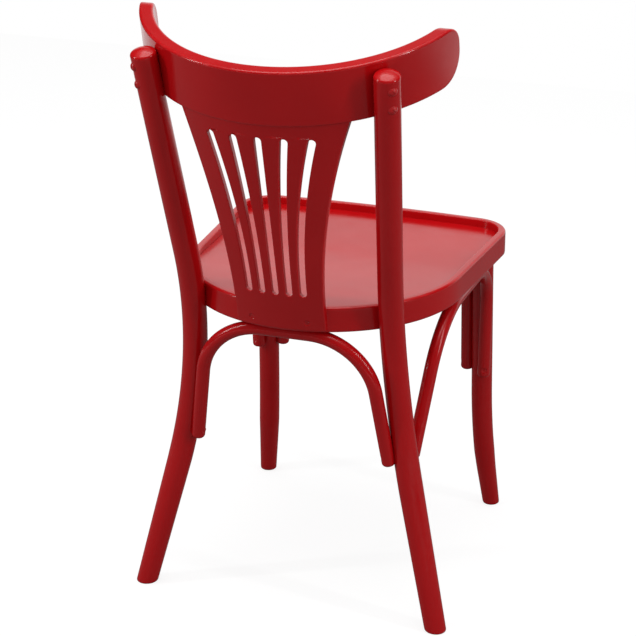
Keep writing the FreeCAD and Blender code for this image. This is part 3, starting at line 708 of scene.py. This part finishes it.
def crest_loop():
    """Places round the face's outline as angle and height, from the lower +X corner on.

    With each come the way inwards and the angle of the nearest point of the middle line."""
    front = -CREST_REACH
    quarter = np.linspace(0, math.pi / 2, CORNER_ROWS)
    low, high = CREST_LOW_CORNER, CREST_TOP_CORNER
    low_y = front + low - low * np.sin(quarter)
    low_z = low - low * np.cos(quarter)
    high_y = front + high - high * np.cos(quarter)
    high_z = CREST_HEIGHT - high + high * np.sin(quarter)
    straight_z = np.linspace(low, CREST_HEIGHT - high, 4)[1:-1]
    end_y = np.concatenate([low_y, np.full(len(straight_z), front), high_y])
    end_z = np.concatenate([low_z, straight_z, high_z])
    turn = np.concatenate([quarter, np.full(len(straight_z), math.pi / 2), math.pi / 2 + quarter])
    end = np.arcsin((end_y + CREST_RADIUS) / CREST_RADIUS)
    into = np.stack([np.sin(turn), np.cos(turn)], axis=1)
    run = np.linspace(end[0], math.pi - end[0], CREST_COLUMNS)
    lead = np.linspace(end[-1], end[0], 5)[1:-1]
    top_run = np.concatenate([lead, run, math.pi - lead[::-1]])
    top = np.stack([top_run, np.full(len(top_run), CREST_HEIGHT)], axis=1)
    bottom = np.stack([run[-2:0:-1], np.zeros(len(run) - 2)], axis=1)
    right = np.stack([end, end_z], axis=1)
    left = np.stack([math.pi - end, end_z], axis=1)[::-1]
    places = np.vstack([right, top, left, bottom])
    ways = np.vstack([into, np.tile([0.0, -1.0], (len(top), 1)), (into * [-1, 1])[::-1],
                      np.tile([0.0, 1.0], (len(bottom), 1))])
    return places, ways, places[:, 0].clip(run[0], run[-1])


def crest_rail():
    """Loops of the outline over the outer face, the edges and wall, and the inner face."""
    places, ways, spine = crest_loop()
    quarter = np.linspace(0, math.pi / 2, ROUND_LOOPS)
    half = CREST_HEIGHT / 2

    def at(inset, depth, share=1.0):
        """The loop at an inset, sunk from the outer face by depth, drawn in to the middle line."""
        radius = CREST_RADIUS - depth
        from_middle = np.abs(places[:, 0] - math.pi / 2)
        flush = np.arcsin(np.clip(np.sin(places[:, 0]) * CREST_RADIUS / radius, -1, 1))
        flush = np.where(places[:, 0] > math.pi / 2, math.pi - flush, flush)
        cut = smooth((from_middle - FLUSH_FROM) / FLUSH_RUN)
        a = places[:, 0] + (flush - places[:, 0]) * cut + inset * ways[:, 0] / radius
        z = places[:, 1] + inset * ways[:, 1]
        return spine + (a - spine) * share, half + (z - half) * share, np.full(len(a), radius)

    flat_inset = CREST_ROUND + CREST_GUARD
    shares = np.linspace(0, 1, FACE_LOOPS)
    rounds = [(CREST_ROUND * (1 - math.sin(q)), CREST_ROUND * (1 - math.cos(q)))
              for q in quarter]
    loops = [at(flat_inset, 0, share) for share in shares]
    loops += [at(inset, depth) for inset, depth in rounds]
    loops += [at(0, depth) for depth in np.linspace(
        CREST_WALL_INSET, CREST_THICKNESS - CREST_WALL_INSET, WALL_LOOPS)]
    loops += [at(inset, CREST_THICKNESS - depth) for inset, depth in rounds[::-1]]
    loops += [at(flat_inset, CREST_THICKNESS, share) for share in shares[::-1]]
    a, z, radius = [np.stack([loop[k] for loop in loops], axis=1) for k in range(3)]
    points = leaned(radius * np.cos(a), radius * np.sin(a) - CREST_RADIUS, z)
    near = np.zeros(len(loops))
    for first in (FACE_LOOPS + 1, FACE_LOOPS + ROUND_LOOPS + WALL_LOOPS + 1):
        near[first:first + len(WORN_EDGE)] = WORN_EDGE
    return skin("Crest_rail", [patch(points, a * CREST_RADIUS, z - radius, (True, False), near)],
                "crest_rail")


crest_rail()

# %% [markdown]
# ## The splat
# The splat is thin bent plywood, sawn to a fan with five slots. Slots cut with a Boolean would
# leave long thin triangles that spoil the gloss. So the sheet is six bars of a grid, which run
# beside the slots. Every row crosses all six, and close to a slot's round end the rows follow it.
# The same grid serves the face, and its edges at other insets serve the rounding and the wall.

# %% The fan's plan
SPLAT_EDGE = 0.0012
SPLAT_LOW = RING_BOTTOM + 0.004
SPLAT_WAIST = SEAT_TOP + 0.035
SPLAT_FLARE = SEAT_TOP + 0.175
SPLAT_HIGH = CREST_BOTTOM + 0.012
SPLAT_SIDE_Z = np.array([SPLAT_LOW, SPLAT_WAIST, SPLAT_FLARE, SPLAT_HIGH])
SPLAT_SIDE_X = np.array([0.063, 0.064, 0.0845, 0.1155])
SLOTS = np.arange(-2, 3)
SLOT_LOW = SEAT_TOP + 0.021
SLOT_HIGH = SEAT_TOP + 0.2555
SLOT_HEIGHT = SLOT_HIGH - SLOT_LOW
SLOT_WIDTHS = (0.0095, 0.0105)
SLOT_PITCHES = (0.0190, 0.0348)
SLOT_ROWS = 48
SLOT_MARGIN = 0.004
SPLAT_SCREW = (0.039, RING_BOTTOM + 0.016)
SCREW_REACH = 0.006
SCREW_STEP = 0.0005
BAR_NEAR_SCREW = 0.0058
SIDE_BAR_WIDTH = 0.0192
OUTER_BAR_WIDTH = 0.0236


def side_curve():
    """One cubic through the four points, in terms of the length of the lines between them."""
    corners = np.stack([SPLAT_SIDE_X, SPLAT_SIDE_Z], axis=1)
    run = lengths(corners)
    t = np.linspace(0, run[-1], 400)
    return [np.polyval(np.polyfit(run, corners[:, k], 3), t) for k in (0, 1)]


SIDE_CURVE = side_curve()
print("splat half width, least", round(float(SIDE_CURVE[0].min()), 4))


def graded(width, count):
    """Shares of a bar's width, fine near its inner edge, where a screw goes in, coarser beyond."""
    fine = np.arange(0, BAR_NEAR_SCREW, SCREW_STEP)
    return np.concatenate([fine, np.linspace(BAR_NEAR_SCREW, width, count + 1)]) / width


MIDDLE_BAR = np.array([0, 0.03, 0.1, 0.3, 0.5, 0.7, 0.9, 0.97, 1])
SIDE_BAR = graded(SIDE_BAR_WIDTH, 6)
OUTER_BAR = graded(OUTER_BAR_WIDTH, 8)
BARS = [1 - OUTER_BAR[::-1], SIDE_BAR, MIDDLE_BAR, MIDDLE_BAR, 1 - SIDE_BAR[::-1], OUTER_BAR]
ROUND_ROWS = np.linspace(0, math.pi / 2, 12)
FOOT_ROWS = np.concatenate([
    np.linspace(SPLAT_LOW, SPLAT_SCREW[1] - SCREW_REACH - SCREW_STEP, 5),
    np.arange(SPLAT_SCREW[1] - SCREW_REACH, SPLAT_SCREW[1] + SCREW_REACH, SCREW_STEP),
    np.linspace(SPLAT_SCREW[1] + SCREW_REACH + SCREW_STEP, SLOT_LOW - SLOT_MARGIN, 8)])
HEAD_ROWS = np.linspace(SLOT_HIGH + SLOT_MARGIN, SPLAT_HIGH, 6)


def slot_middle(t):
    """Points of the slots' middle lines at a share t of their height, and their directions.

    The distance between slots grows with the square of the height, so they spread like a fan."""
    spread = SLOT_PITCHES[1] - SLOT_PITCHES[0]
    x = SLOTS * (SLOT_PITCHES[0] + spread * t * t)
    z = np.full(len(SLOTS), SLOT_LOW + SLOT_HEIGHT * t)
    along = unit(np.stack([2 * SLOTS * spread * t, np.full(len(SLOTS), SLOT_HEIGHT)], axis=1))
    return np.stack([x, z], axis=1), along


def slot_line(inset):
    """Left and right edge of every slot on every row, the slots grown by inset.

    A row is a place on the middle line, a way ahead along it, and half a width across it."""
    r1, r2 = SLOT_WIDTHS[0] / 2, SLOT_WIDTHS[1] / 2
    low, high = r1 / SLOT_HEIGHT, 1 - r2 / SLOT_HEIGHT
    stations = [(low, -(r1 + inset) * math.cos(a), (r1 + inset) * math.sin(a))
                for a in ROUND_ROWS]
    stations += [(low + (high - low) * t, 0.0, r1 + (r2 - r1) * t + inset)
                 for t in np.linspace(0, 1, SLOT_ROWS + 2)[1:-1]]
    stations += [(high, (r2 + inset) * math.cos(a), (r2 + inset) * math.sin(a))
                 for a in ROUND_ROWS[::-1]]
    left, right = [], []
    for t, ahead, half in stations:
        middle, along = slot_middle(t)
        across = np.stack([along[:, 1], -along[:, 0]], axis=1)
        left.append(middle + along * ahead - across * half)
        right.append(middle + along * ahead + across * half)
    return np.array(left), np.array(right)


def fan(inset):
    """The fan's plan (x, height) on the grid of rows and bars, all its edges moved in by inset."""
    left, right = slot_line(inset)
    foot = FOOT_ROWS.copy()
    foot[0] += inset
    head = HEAD_ROWS.copy()
    head[-1] -= inset
    lines = []
    for z, row in ((foot, 0), (head, -1)):
        x = np.broadcast_to(left[row, :, 0], (len(z), len(SLOTS)))
        lines.append(np.dstack([x, np.broadcast_to(z[:, None], x.shape)]))
    left = np.concatenate([lines[0], left, lines[1]])
    right = np.concatenate([lines[0], right, lines[1]])
    z = right[:, -1, 1]
    outer_x = np.interp(z, SIDE_CURVE[1], SIDE_CURVE[0])
    slope = np.gradient(outer_x, z)
    outer = np.stack([outer_x - inset * np.sqrt(1 + slope ** 2), z], axis=1)
    left = np.concatenate([left, outer[:, None]], axis=1)
    right = np.concatenate([(outer * [-1, 1])[:, None], right], axis=1)
    return [right[:, k, None] + (left[:, k] - right[:, k])[:, None] * bar[None, :, None]
            for k, bar in enumerate(BARS)]


print("the fan's plan has", sum(bar.shape[0] * bar.shape[1] for bar in fan(0)), "points")

# %% [markdown]
# On the bench the sheet is pressed over a round form before it is sawn, so the plan is laid onto
# a bent sheet that leans back. Its rims are strips from the front face to the back, one round
# each slot and one round the whole fan, and they meet the faces point for point.

# %% The splat's skin
def on_sheet(plan, depth):
    """Points of the leaning bent sheet: x and height as in the plan, depth behind its front.

    A circle in the sheet's own level gives how far each x lies forward, then the lean turns it."""
    x, z = plan[..., 0], plan[..., 1]
    bow = np.sqrt((SEAT_BACK_RADIUS + depth) ** 2 - x ** 2) - SEAT_BACK_RADIUS
    up = (z - SPLAT_MEET + bow * math.sin(SPLAT_LEAN)) / math.cos(SPLAT_LEAN)
    return np.stack([x, bow * math.cos(SPLAT_LEAN) + up * math.sin(SPLAT_LEAN), z], axis=-1)


def sheet_strip(plans, depths, near):
    """A closed strip of the skin from loops of plan points at a row of depths."""
    points = np.stack([on_sheet(plan, depth) for plan, depth in zip(plans, depths)], axis=1)
    u = np.stack([plan[..., 1] for plan in plans], axis=1)
    v = np.stack([plan[..., 0] + depth for plan, depth in zip(plans, depths)], axis=1)
    return patch(points, u, v, (True, False), near)


def rim(edge_of):
    """Rounding, wall and rounding along one loop of edges, from the front face to the back."""
    quarter = np.linspace(0, math.pi / 2, 6)
    inset = SPLAT_EDGE * (1 - np.sin(quarter))
    depth = SPLAT_EDGE * (1 - np.cos(quarter))
    insets = np.concatenate([inset, [0, 0], inset[::-1]])
    wall = SPLAT_THICKNESS * np.array([1, 2]) / 3
    depths = np.concatenate([depth, wall, SPLAT_THICKNESS - depth[::-1]])
    near = np.zeros(len(insets))
    for first in (1, len(quarter) + len(wall) + 1):
        near[first:first + len(WORN_EDGE)] = WORN_EDGE
    return sheet_strip([edge_of(fan(inset)) for inset in insets], depths, near[None])


def slot_edge(index):
    """The loop round one slot: up one bar's side and down its neighbour's."""
    first = len(FOOT_ROWS)
    last = first + 2 * len(ROUND_ROWS) + SLOT_ROWS

    def edge(plan):
        """The loop on one plan of the fan, from the slot's foot."""
        up = plan[index][first:last, -1]
        down = plan[index + 1][first:last, 0]
        return np.concatenate([up, down[-2:0:-1]])

    return edge


def outer_edge(plan):
    """The loop round the whole fan."""
    top = np.concatenate([bar[-1, :-1] for bar in plan] + [plan[-1][-1, -1:]])
    bottom = np.concatenate([bar[0, :-1] for bar in plan] + [plan[-1][0, -1:]])
    return np.concatenate([plan[0][:-1, 0], top, plan[-1][-2::-1, -1], bottom[-2:0:-1]])


def screws_dished(points):
    """The back face with a dish at each of its two screws, pressed in square to the sheet."""
    for side in (1, -1):
        screw = np.array([[SPLAT_SCREW[0] * side, SPLAT_SCREW[1]]])
        centre = on_sheet(screw, SPLAT_THICKNESS)[0]
        ahead = on_sheet(screw, 0)[0] - centre
        ahead[0] = -SPLAT_SCREW[0] * side * SPLAT_THICKNESS / SEAT_BACK_RADIUS
        points = dished(points, centre, unit(ahead))
    return points


def splat():
    """Two faces of six bars, a rim round each slot, and one round the fan."""
    face = fan(SPLAT_EDGE)
    patches = [patch(on_sheet(bar, 0), bar[..., 1], bar[..., 0]) for bar in face]
    for bar in face:
        back = screws_dished(on_sheet(bar, SPLAT_THICKNESS))
        patches.append(patch(back, bar[..., 1], bar[..., 0] + SPLAT_THICKNESS))
    patches += [rim(slot_edge(k)) for k in range(len(SLOTS))] + [rim(outer_edge)]
    return skin("Splat", patches, "splat")


splat()

# %% [markdown]
# ## Red lacquer over wood
# The wood is sprayed with an opaque satin lacquer. A flat red with an even gloss would look like
# plastic. What makes it lacquer on wood is built up from noise, and noise needs no picture. These
# helpers keep each layer of it to one line.

# %% Small helpers for node trees
def tree_of(owner):
    """The node tree of a material or of the world, emptied and ready to be filled."""
    owner.use_nodes = True
    owner.node_tree.nodes.clear()
    return owner.node_tree


def add(tree, kind, settings=None, **inputs):
    """A node with settings, its inputs given by name as numbers or as sockets of other nodes."""
    node = tree.nodes.new(kind)
    for name, value in (settings or {}).items():
        setattr(node, name, value)
    for name, value in inputs.items():
        socket = node.inputs[int(name[1:])] if name[0] == "i" and name[1:].isdigit() else None
        socket = socket or node.inputs[name.replace("_", " ")]
        if isinstance(value, bpy.types.NodeSocket):
            tree.links.new(value, socket)
        else:
            socket.default_value = value
    return node


def math_node(tree, operation, a, b=0.0):
    """The result of one operation on two numbers or sockets."""
    return add(tree, "ShaderNodeMath", {"operation": operation}, i0=a, i1=b).outputs[0]


def between(tree, value, low, high, to_low=0.0, to_high=1.0):
    """Maps a range of values to another, held at its ends."""
    node = add(tree, "ShaderNodeMapRange", {"interpolation_type": "SMOOTHSTEP"}, Value=value,
               From_Min=low, From_Max=high, To_Min=to_low, To_Max=to_high)
    return node.outputs["Result"]


def noise(tree, vector, scale, detail, roughness=0.55):
    """Noise from 0 to 1, with about as many lumps to a metre as its scale."""
    node = add(tree, "ShaderNodeTexNoise", None, Vector=vector, Scale=scale, Detail=detail,
               Roughness=roughness)
    return node.outputs["Fac"]


def blend(tree, share, a, b):
    """One colour mixed with another by a share."""
    node = add(tree, "ShaderNodeMix", {"data_type": "RGBA"}, i0=share, i6=a, i7=b)
    return node.outputs[2]


def bump(tree, height, strength, distance, before=None):
    """The normal tilted by a relief, on top of another relief where one is given."""
    extra = {"Normal": before} if before else {}
    node = add(tree, "ShaderNodeBump", None, Height=height, Strength=strength,
               Distance=distance, **extra)
    return node.outputs["Normal"]


# %% [markdown]
# What still shows of the wood is a trace of its pores along the rod, over a fine orange peel from
# the spray. Along sharp edges the film is thinner and paler. Pores are noise on the UV, stretched
# along the rod so that they run with the grain; the peel, the drift of the colour and the cloudy
# gloss are even noise on the object's own place. The dished panel is the smoothest piece, and the
# blocks underneath had only a thin, dull coat.

# %% The lacquer
LACQUER_IOR = 1.42
RED = (0.50, 0.0040, 0.0060, 1)
DEEP_RED = (0.45, 0.0030, 0.0048, 1)
WORN_RED = (0.62, 0.018, 0.022, 1)
PORE_STRETCH = (14.0, 420.0, 1.0)


def lacquer(name, on_uv=True, gloss=0.17, worn=True, relief=1.0):
    """Satin lacquer: colour drift, pores along the grain, orange peel, paler worn edges."""
    material = bpy.data.materials.new(name)
    tree = tree_of(material)
    place = add(tree, "ShaderNodeTexCoord")
    body = place.outputs["Object"]
    along = place.outputs["UV"] if on_uv else body
    pores = noise(tree, add(tree, "ShaderNodeMapping", None, Vector=along,
                            Scale=PORE_STRETCH).outputs[0], scale=1.0, detail=2.0)
    drift = noise(tree, body, scale=7.0, detail=2.0)
    peel = noise(tree, body, scale=260.0, detail=1.0)
    cloud = noise(tree, body, scale=38.0, detail=4.0)
    colour = blend(tree, between(tree, drift, 0.30, 0.72), RED, DEEP_RED)
    if worn:
        edge = add(tree, "ShaderNodeAttribute", {"attribute_name": "edge"}).outputs["Fac"]
        thin = math_node(tree, "MULTIPLY", edge, between(tree, cloud, 0.40, 0.68, 0.10, 0.60))
        colour = blend(tree, thin, colour, WORN_RED)
    rough = between(tree, cloud, 0.3, 0.7, gloss - 0.02, gloss + 0.04)
    fine = bump(tree, peel, strength=0.04 * relief, distance=0.0002)
    grain = bump(tree, pores, strength=0.04 * relief, distance=0.0001, before=fine)
    shader = add(tree, "ShaderNodeBsdfPrincipled", None, Base_Color=colour, Roughness=rough,
                 IOR=LACQUER_IOR, Normal=grain)
    add(tree, "ShaderNodeOutputMaterial", None, Surface=shader.outputs[0])
    return material


ROD_LACQUER = lacquer("Lacquer_on_rods")
SHEET_LACQUER = lacquer("Lacquer_on_seat", gloss=0.20, worn=False, relief=0.2)
BLOCK_LACQUER = lacquer("Lacquer_on_blocks", on_uv=False, gloss=0.40, worn=False)
skins = [o for o in bpy.data.objects if o.type == "MESH" and "edge" in o.data.attributes]
for piece in skins:
    piece.data.materials.append(SHEET_LACQUER if piece.name == "Seat_panel" else ROD_LACQUER)
print("lacquered skins:", len(skins))

# %% [markdown]
# ## Screws and hidden hardware
# The screws that show were painted over with the chair, and a little bare steel glints through in
# flecks. The hardware under the seat is plain zinc-plated steel. These pieces are small and
# turned, so their measured solids serve as they are, and one noise texture tells paint from
# steel: where it is high, the colour turns grey and the surface metallic together.

# %% Painted and plain steel
ZINC = (0.55, 0.55, 0.53, 1)
DULL_ZINC = (0.36, 0.37, 0.37, 1)
PAINT_IOR = 1.46


def painted_steel(name):
    """Red paint on a steel head, cloudy in tone and rubbed through in small flecks."""
    material = bpy.data.materials.new(name)
    tree = tree_of(material)
    body = add(tree, "ShaderNodeTexCoord").outputs["Object"]
    grit = noise(tree, body, scale=900.0, detail=3.0)
    drift = noise(tree, body, scale=120.0, detail=2.0)
    fleck = between(tree, noise(tree, body, scale=520.0, detail=4.0), 0.66, 0.70)
    colour = blend(tree, between(tree, drift, 0.35, 0.65), DEEP_RED, RED)
    shader = add(tree, "ShaderNodeBsdfPrincipled", None,
                 Base_Color=blend(tree, fleck, colour, DULL_ZINC), Metallic=fleck,
                 Roughness=between(tree, drift, 0.3, 0.7, 0.28, 0.42), IOR=PAINT_IOR,
                 Normal=bump(tree, grit, strength=0.2, distance=0.0002))
    add(tree, "ShaderNodeOutputMaterial", None, Surface=shader.outputs[0])
    return material


def plain_steel(name):
    """Zinc plate: grey metal, cloudy in tone and in roughness, with a fine grain."""
    material = bpy.data.materials.new(name)
    tree = tree_of(material)
    body = add(tree, "ShaderNodeTexCoord").outputs["Object"]
    cloud = noise(tree, body, scale=160.0, detail=4.0)
    grain = noise(tree, body, scale=1500.0, detail=2.0)
    shader = add(tree, "ShaderNodeBsdfPrincipled", None, Metallic=1.0,
                 Base_Color=blend(tree, between(tree, cloud, 0.35, 0.65), ZINC, DULL_ZINC),
                 Roughness=between(tree, cloud, 0.3, 0.7, 0.30, 0.50),
                 Normal=bump(tree, grain, strength=0.15, distance=0.0001))
    add(tree, "ShaderNodeOutputMaterial", None, Surface=shader.outputs[0])
    return material


def dress(names, material):
    """Put one material on measured solids, in place of the one they came with."""
    for name in names:
        nodes[name].data.materials.clear()
        nodes[name].data.materials.append(material)


dress(["crest_screws", "splat_screws", "arch_end_screws"], painted_steel("Painted_screws"))
dress(["arch_crown_screws", "corner_block_screws", "rear_leg_bolts", "rear_leg_washers",
       "rear_leg_inserts"], plain_steel("Zinc_plated_steel"))
dress(["corner_block_left", "corner_block_right"], BLOCK_LACQUER)
print("kept solids dressed")

# %% [markdown]
# ## The studio floor
# The photograph is a plain studio shot on white. A floor painted pure white would throw red light
# back and forth under the chair and wash the lacquer out. So the floor is a mid grey to the light
# that bounces, and is lifted to white only where the camera looks at it: it keeps the chair's
# soft shadow. Gloss sees it lifted too, but only far out, where it runs into the backdrop.

# %% Floor
FLOOR_HALF = 2.6
FLOOR_GREY = (0.22, 0.22, 0.22, 1)
FLOOR_LIFT = 0.84
LIFT_FROM = 1.8
LIFT_FULL = 2.4


def floor():
    """A plane at z = 0, lifted to white for the camera, and for gloss where it meets the backdrop."""
    corners = [(-FLOOR_HALF, -FLOOR_HALF, 0), (FLOOR_HALF, -FLOOR_HALF, 0),
               (FLOOR_HALF, FLOOR_HALF, 0), (-FLOOR_HALF, FLOOR_HALF, 0)]
    mesh = bpy.data.meshes.new("Floor")
    mesh.from_pydata(corners, [], [(0, 1, 2, 3)])
    print("the floor is", 2 * FLOOR_HALF, "m wide")
    plane = bpy.data.objects.new("Floor", mesh)
    bpy.context.scene.collection.objects.link(plane)
    material = bpy.data.materials.new("Studio_floor")
    tree = tree_of(material)
    path = add(tree, "ShaderNodeLightPath").outputs
    place = add(tree, "ShaderNodeTexCoord").outputs["Object"]
    away = add(tree, "ShaderNodeVectorMath", {"operation": "LENGTH"}, i0=place).outputs["Value"]
    mirrored = math_node(tree, "MAXIMUM", path["Is Glossy Ray"], path["Is Transmission Ray"])
    mirrored = math_node(tree, "MULTIPLY", mirrored,
                         between(tree, away, LIFT_FROM, LIFT_FULL))
    seen = math_node(tree, "MAXIMUM", path["Is Camera Ray"], mirrored)
    shader = add(tree, "ShaderNodeBsdfPrincipled", None, Base_Color=FLOOR_GREY,
                 Roughness=0.9, Specular_IOR_Level=0.0, Emission_Color=(1, 1, 1, 1),
                 Emission_Strength=math_node(tree, "MULTIPLY", seen, FLOOR_LIFT))
    add(tree, "ShaderNodeOutputMaterial", None, Surface=shader.outputs[0])
    mesh.materials.append(material)


floor()

# %% [markdown]
# ## The light
# Gloss shows what it mirrors, so the world is worked out by direction: white in front of the
# chair and overhead, dim behind the camera, which leaves the side that is seen a deep red. A
# picture of a studio could be used, but this needs no file. A large soft lamp hangs overhead, and
# two tall narrow ones draw the thin streaks on the posts.

# %% World and lamps
AMBIENT = 0.50
DIM_MIRROR = 0.03


def studio_world():
    """White to the camera; to the gloss white in front and above, dim behind; even to the rest."""
    world = bpy.data.worlds.new("Studio")
    bpy.context.scene.world = world
    tree = tree_of(world)
    way = add(tree, "ShaderNodeSeparateXYZ", None,
              Vector=add(tree, "ShaderNodeTexCoord").outputs["Generated"])
    path = add(tree, "ShaderNodeLightPath").outputs
    ahead = between(tree, way.outputs["Y"], -0.60, -0.95)
    above = between(tree, way.outputs["Z"], 0.60, 0.98)
    bright = math_node(tree, "MAXIMUM", ahead, above)
    mirror = between(tree, bright, 0, 1, DIM_MIRROR, 1.0)
    gloss = math_node(tree, "MAXIMUM", path["Is Glossy Ray"], path["Is Transmission Ray"])
    level = add(tree, "ShaderNodeMix", {"data_type": "FLOAT"}, i0=gloss, i2=AMBIENT, i3=mirror)
    level = add(tree, "ShaderNodeMix", {"data_type": "FLOAT"}, i0=path["Is Camera Ray"],
                i2=level.outputs[0], i3=1.0)
    sky = add(tree, "ShaderNodeBackground", None, Color=(1, 1, 1, 1), Strength=level.outputs[0])
    add(tree, "ShaderNodeOutputWorld", None, Surface=sky.outputs[0])
    world.cycles.sampling_method = "NONE"


def soft_lamp(name, place, target, size, power):
    """A rectangular lamp at a place, turned to its target."""
    lamp = bpy.data.lights.new(name, "AREA")
    lamp.shape = "RECTANGLE"
    lamp.size, lamp.size_y = size
    lamp.energy = power
    thing = bpy.data.objects.new(name, lamp)
    bpy.context.scene.collection.objects.link(thing)
    thing.location = place
    aim = Vector(target) - Vector(place)
    thing.rotation_euler = aim.to_track_quat("-Z", "Y").to_euler()


studio_world()
soft_lamp("Overhead", place=(0.0, 0.3, 3.0), target=(0, 0, 0.4), size=(2.0, 2.0), power=36)
soft_lamp("Streak_left", place=(2.5, 1.5, 1.9), target=(0, 0, 0.6), size=(0.12, 2.0), power=26)
soft_lamp("Streak_right", place=(-2.9, 0.6, 1.9), target=(0, 0, 0.6), size=(0.12, 2.0), power=26)
print("lamps:", [lamp.name for lamp in bpy.data.lights])

# %% [markdown]
# ## The camera
# The chair was photographed from behind and above, over its right rear leg, with a long lens from
# about three metres. The camera's place was fitted to marked points of the photograph, because a
# place chosen by eye leaves the legs splayed wrongly. It is counted from the seat's back line.

# %% Camera, at the photograph's place
CAMERA_PLACE = (-0.968, BACK_LINE + 2.5784, 1.547)
CAMERA_AZIMUTH = math.radians(19.53)
CAMERA_DOWN = math.radians(21.79)
LENS = 125.9
SENSOR = 36.0

camera_data = bpy.data.cameras.new("Camera")
camera_data.lens = LENS
camera_data.sensor_width = SENSOR
camera = bpy.data.objects.new("Camera", camera_data)
bpy.context.scene.collection.objects.link(camera)
look = Vector((math.sin(CAMERA_AZIMUTH) * math.cos(CAMERA_DOWN),
               -math.cos(CAMERA_AZIMUTH) * math.cos(CAMERA_DOWN), -math.sin(CAMERA_DOWN)))
camera.location = CAMERA_PLACE
camera.rotation_euler = look.to_track_quat("-Z", "Y").to_euler()
bpy.context.scene.camera = camera
bpy.context.scene.view_settings.view_transform = "Standard"
print("camera", CAMERA_PLACE)
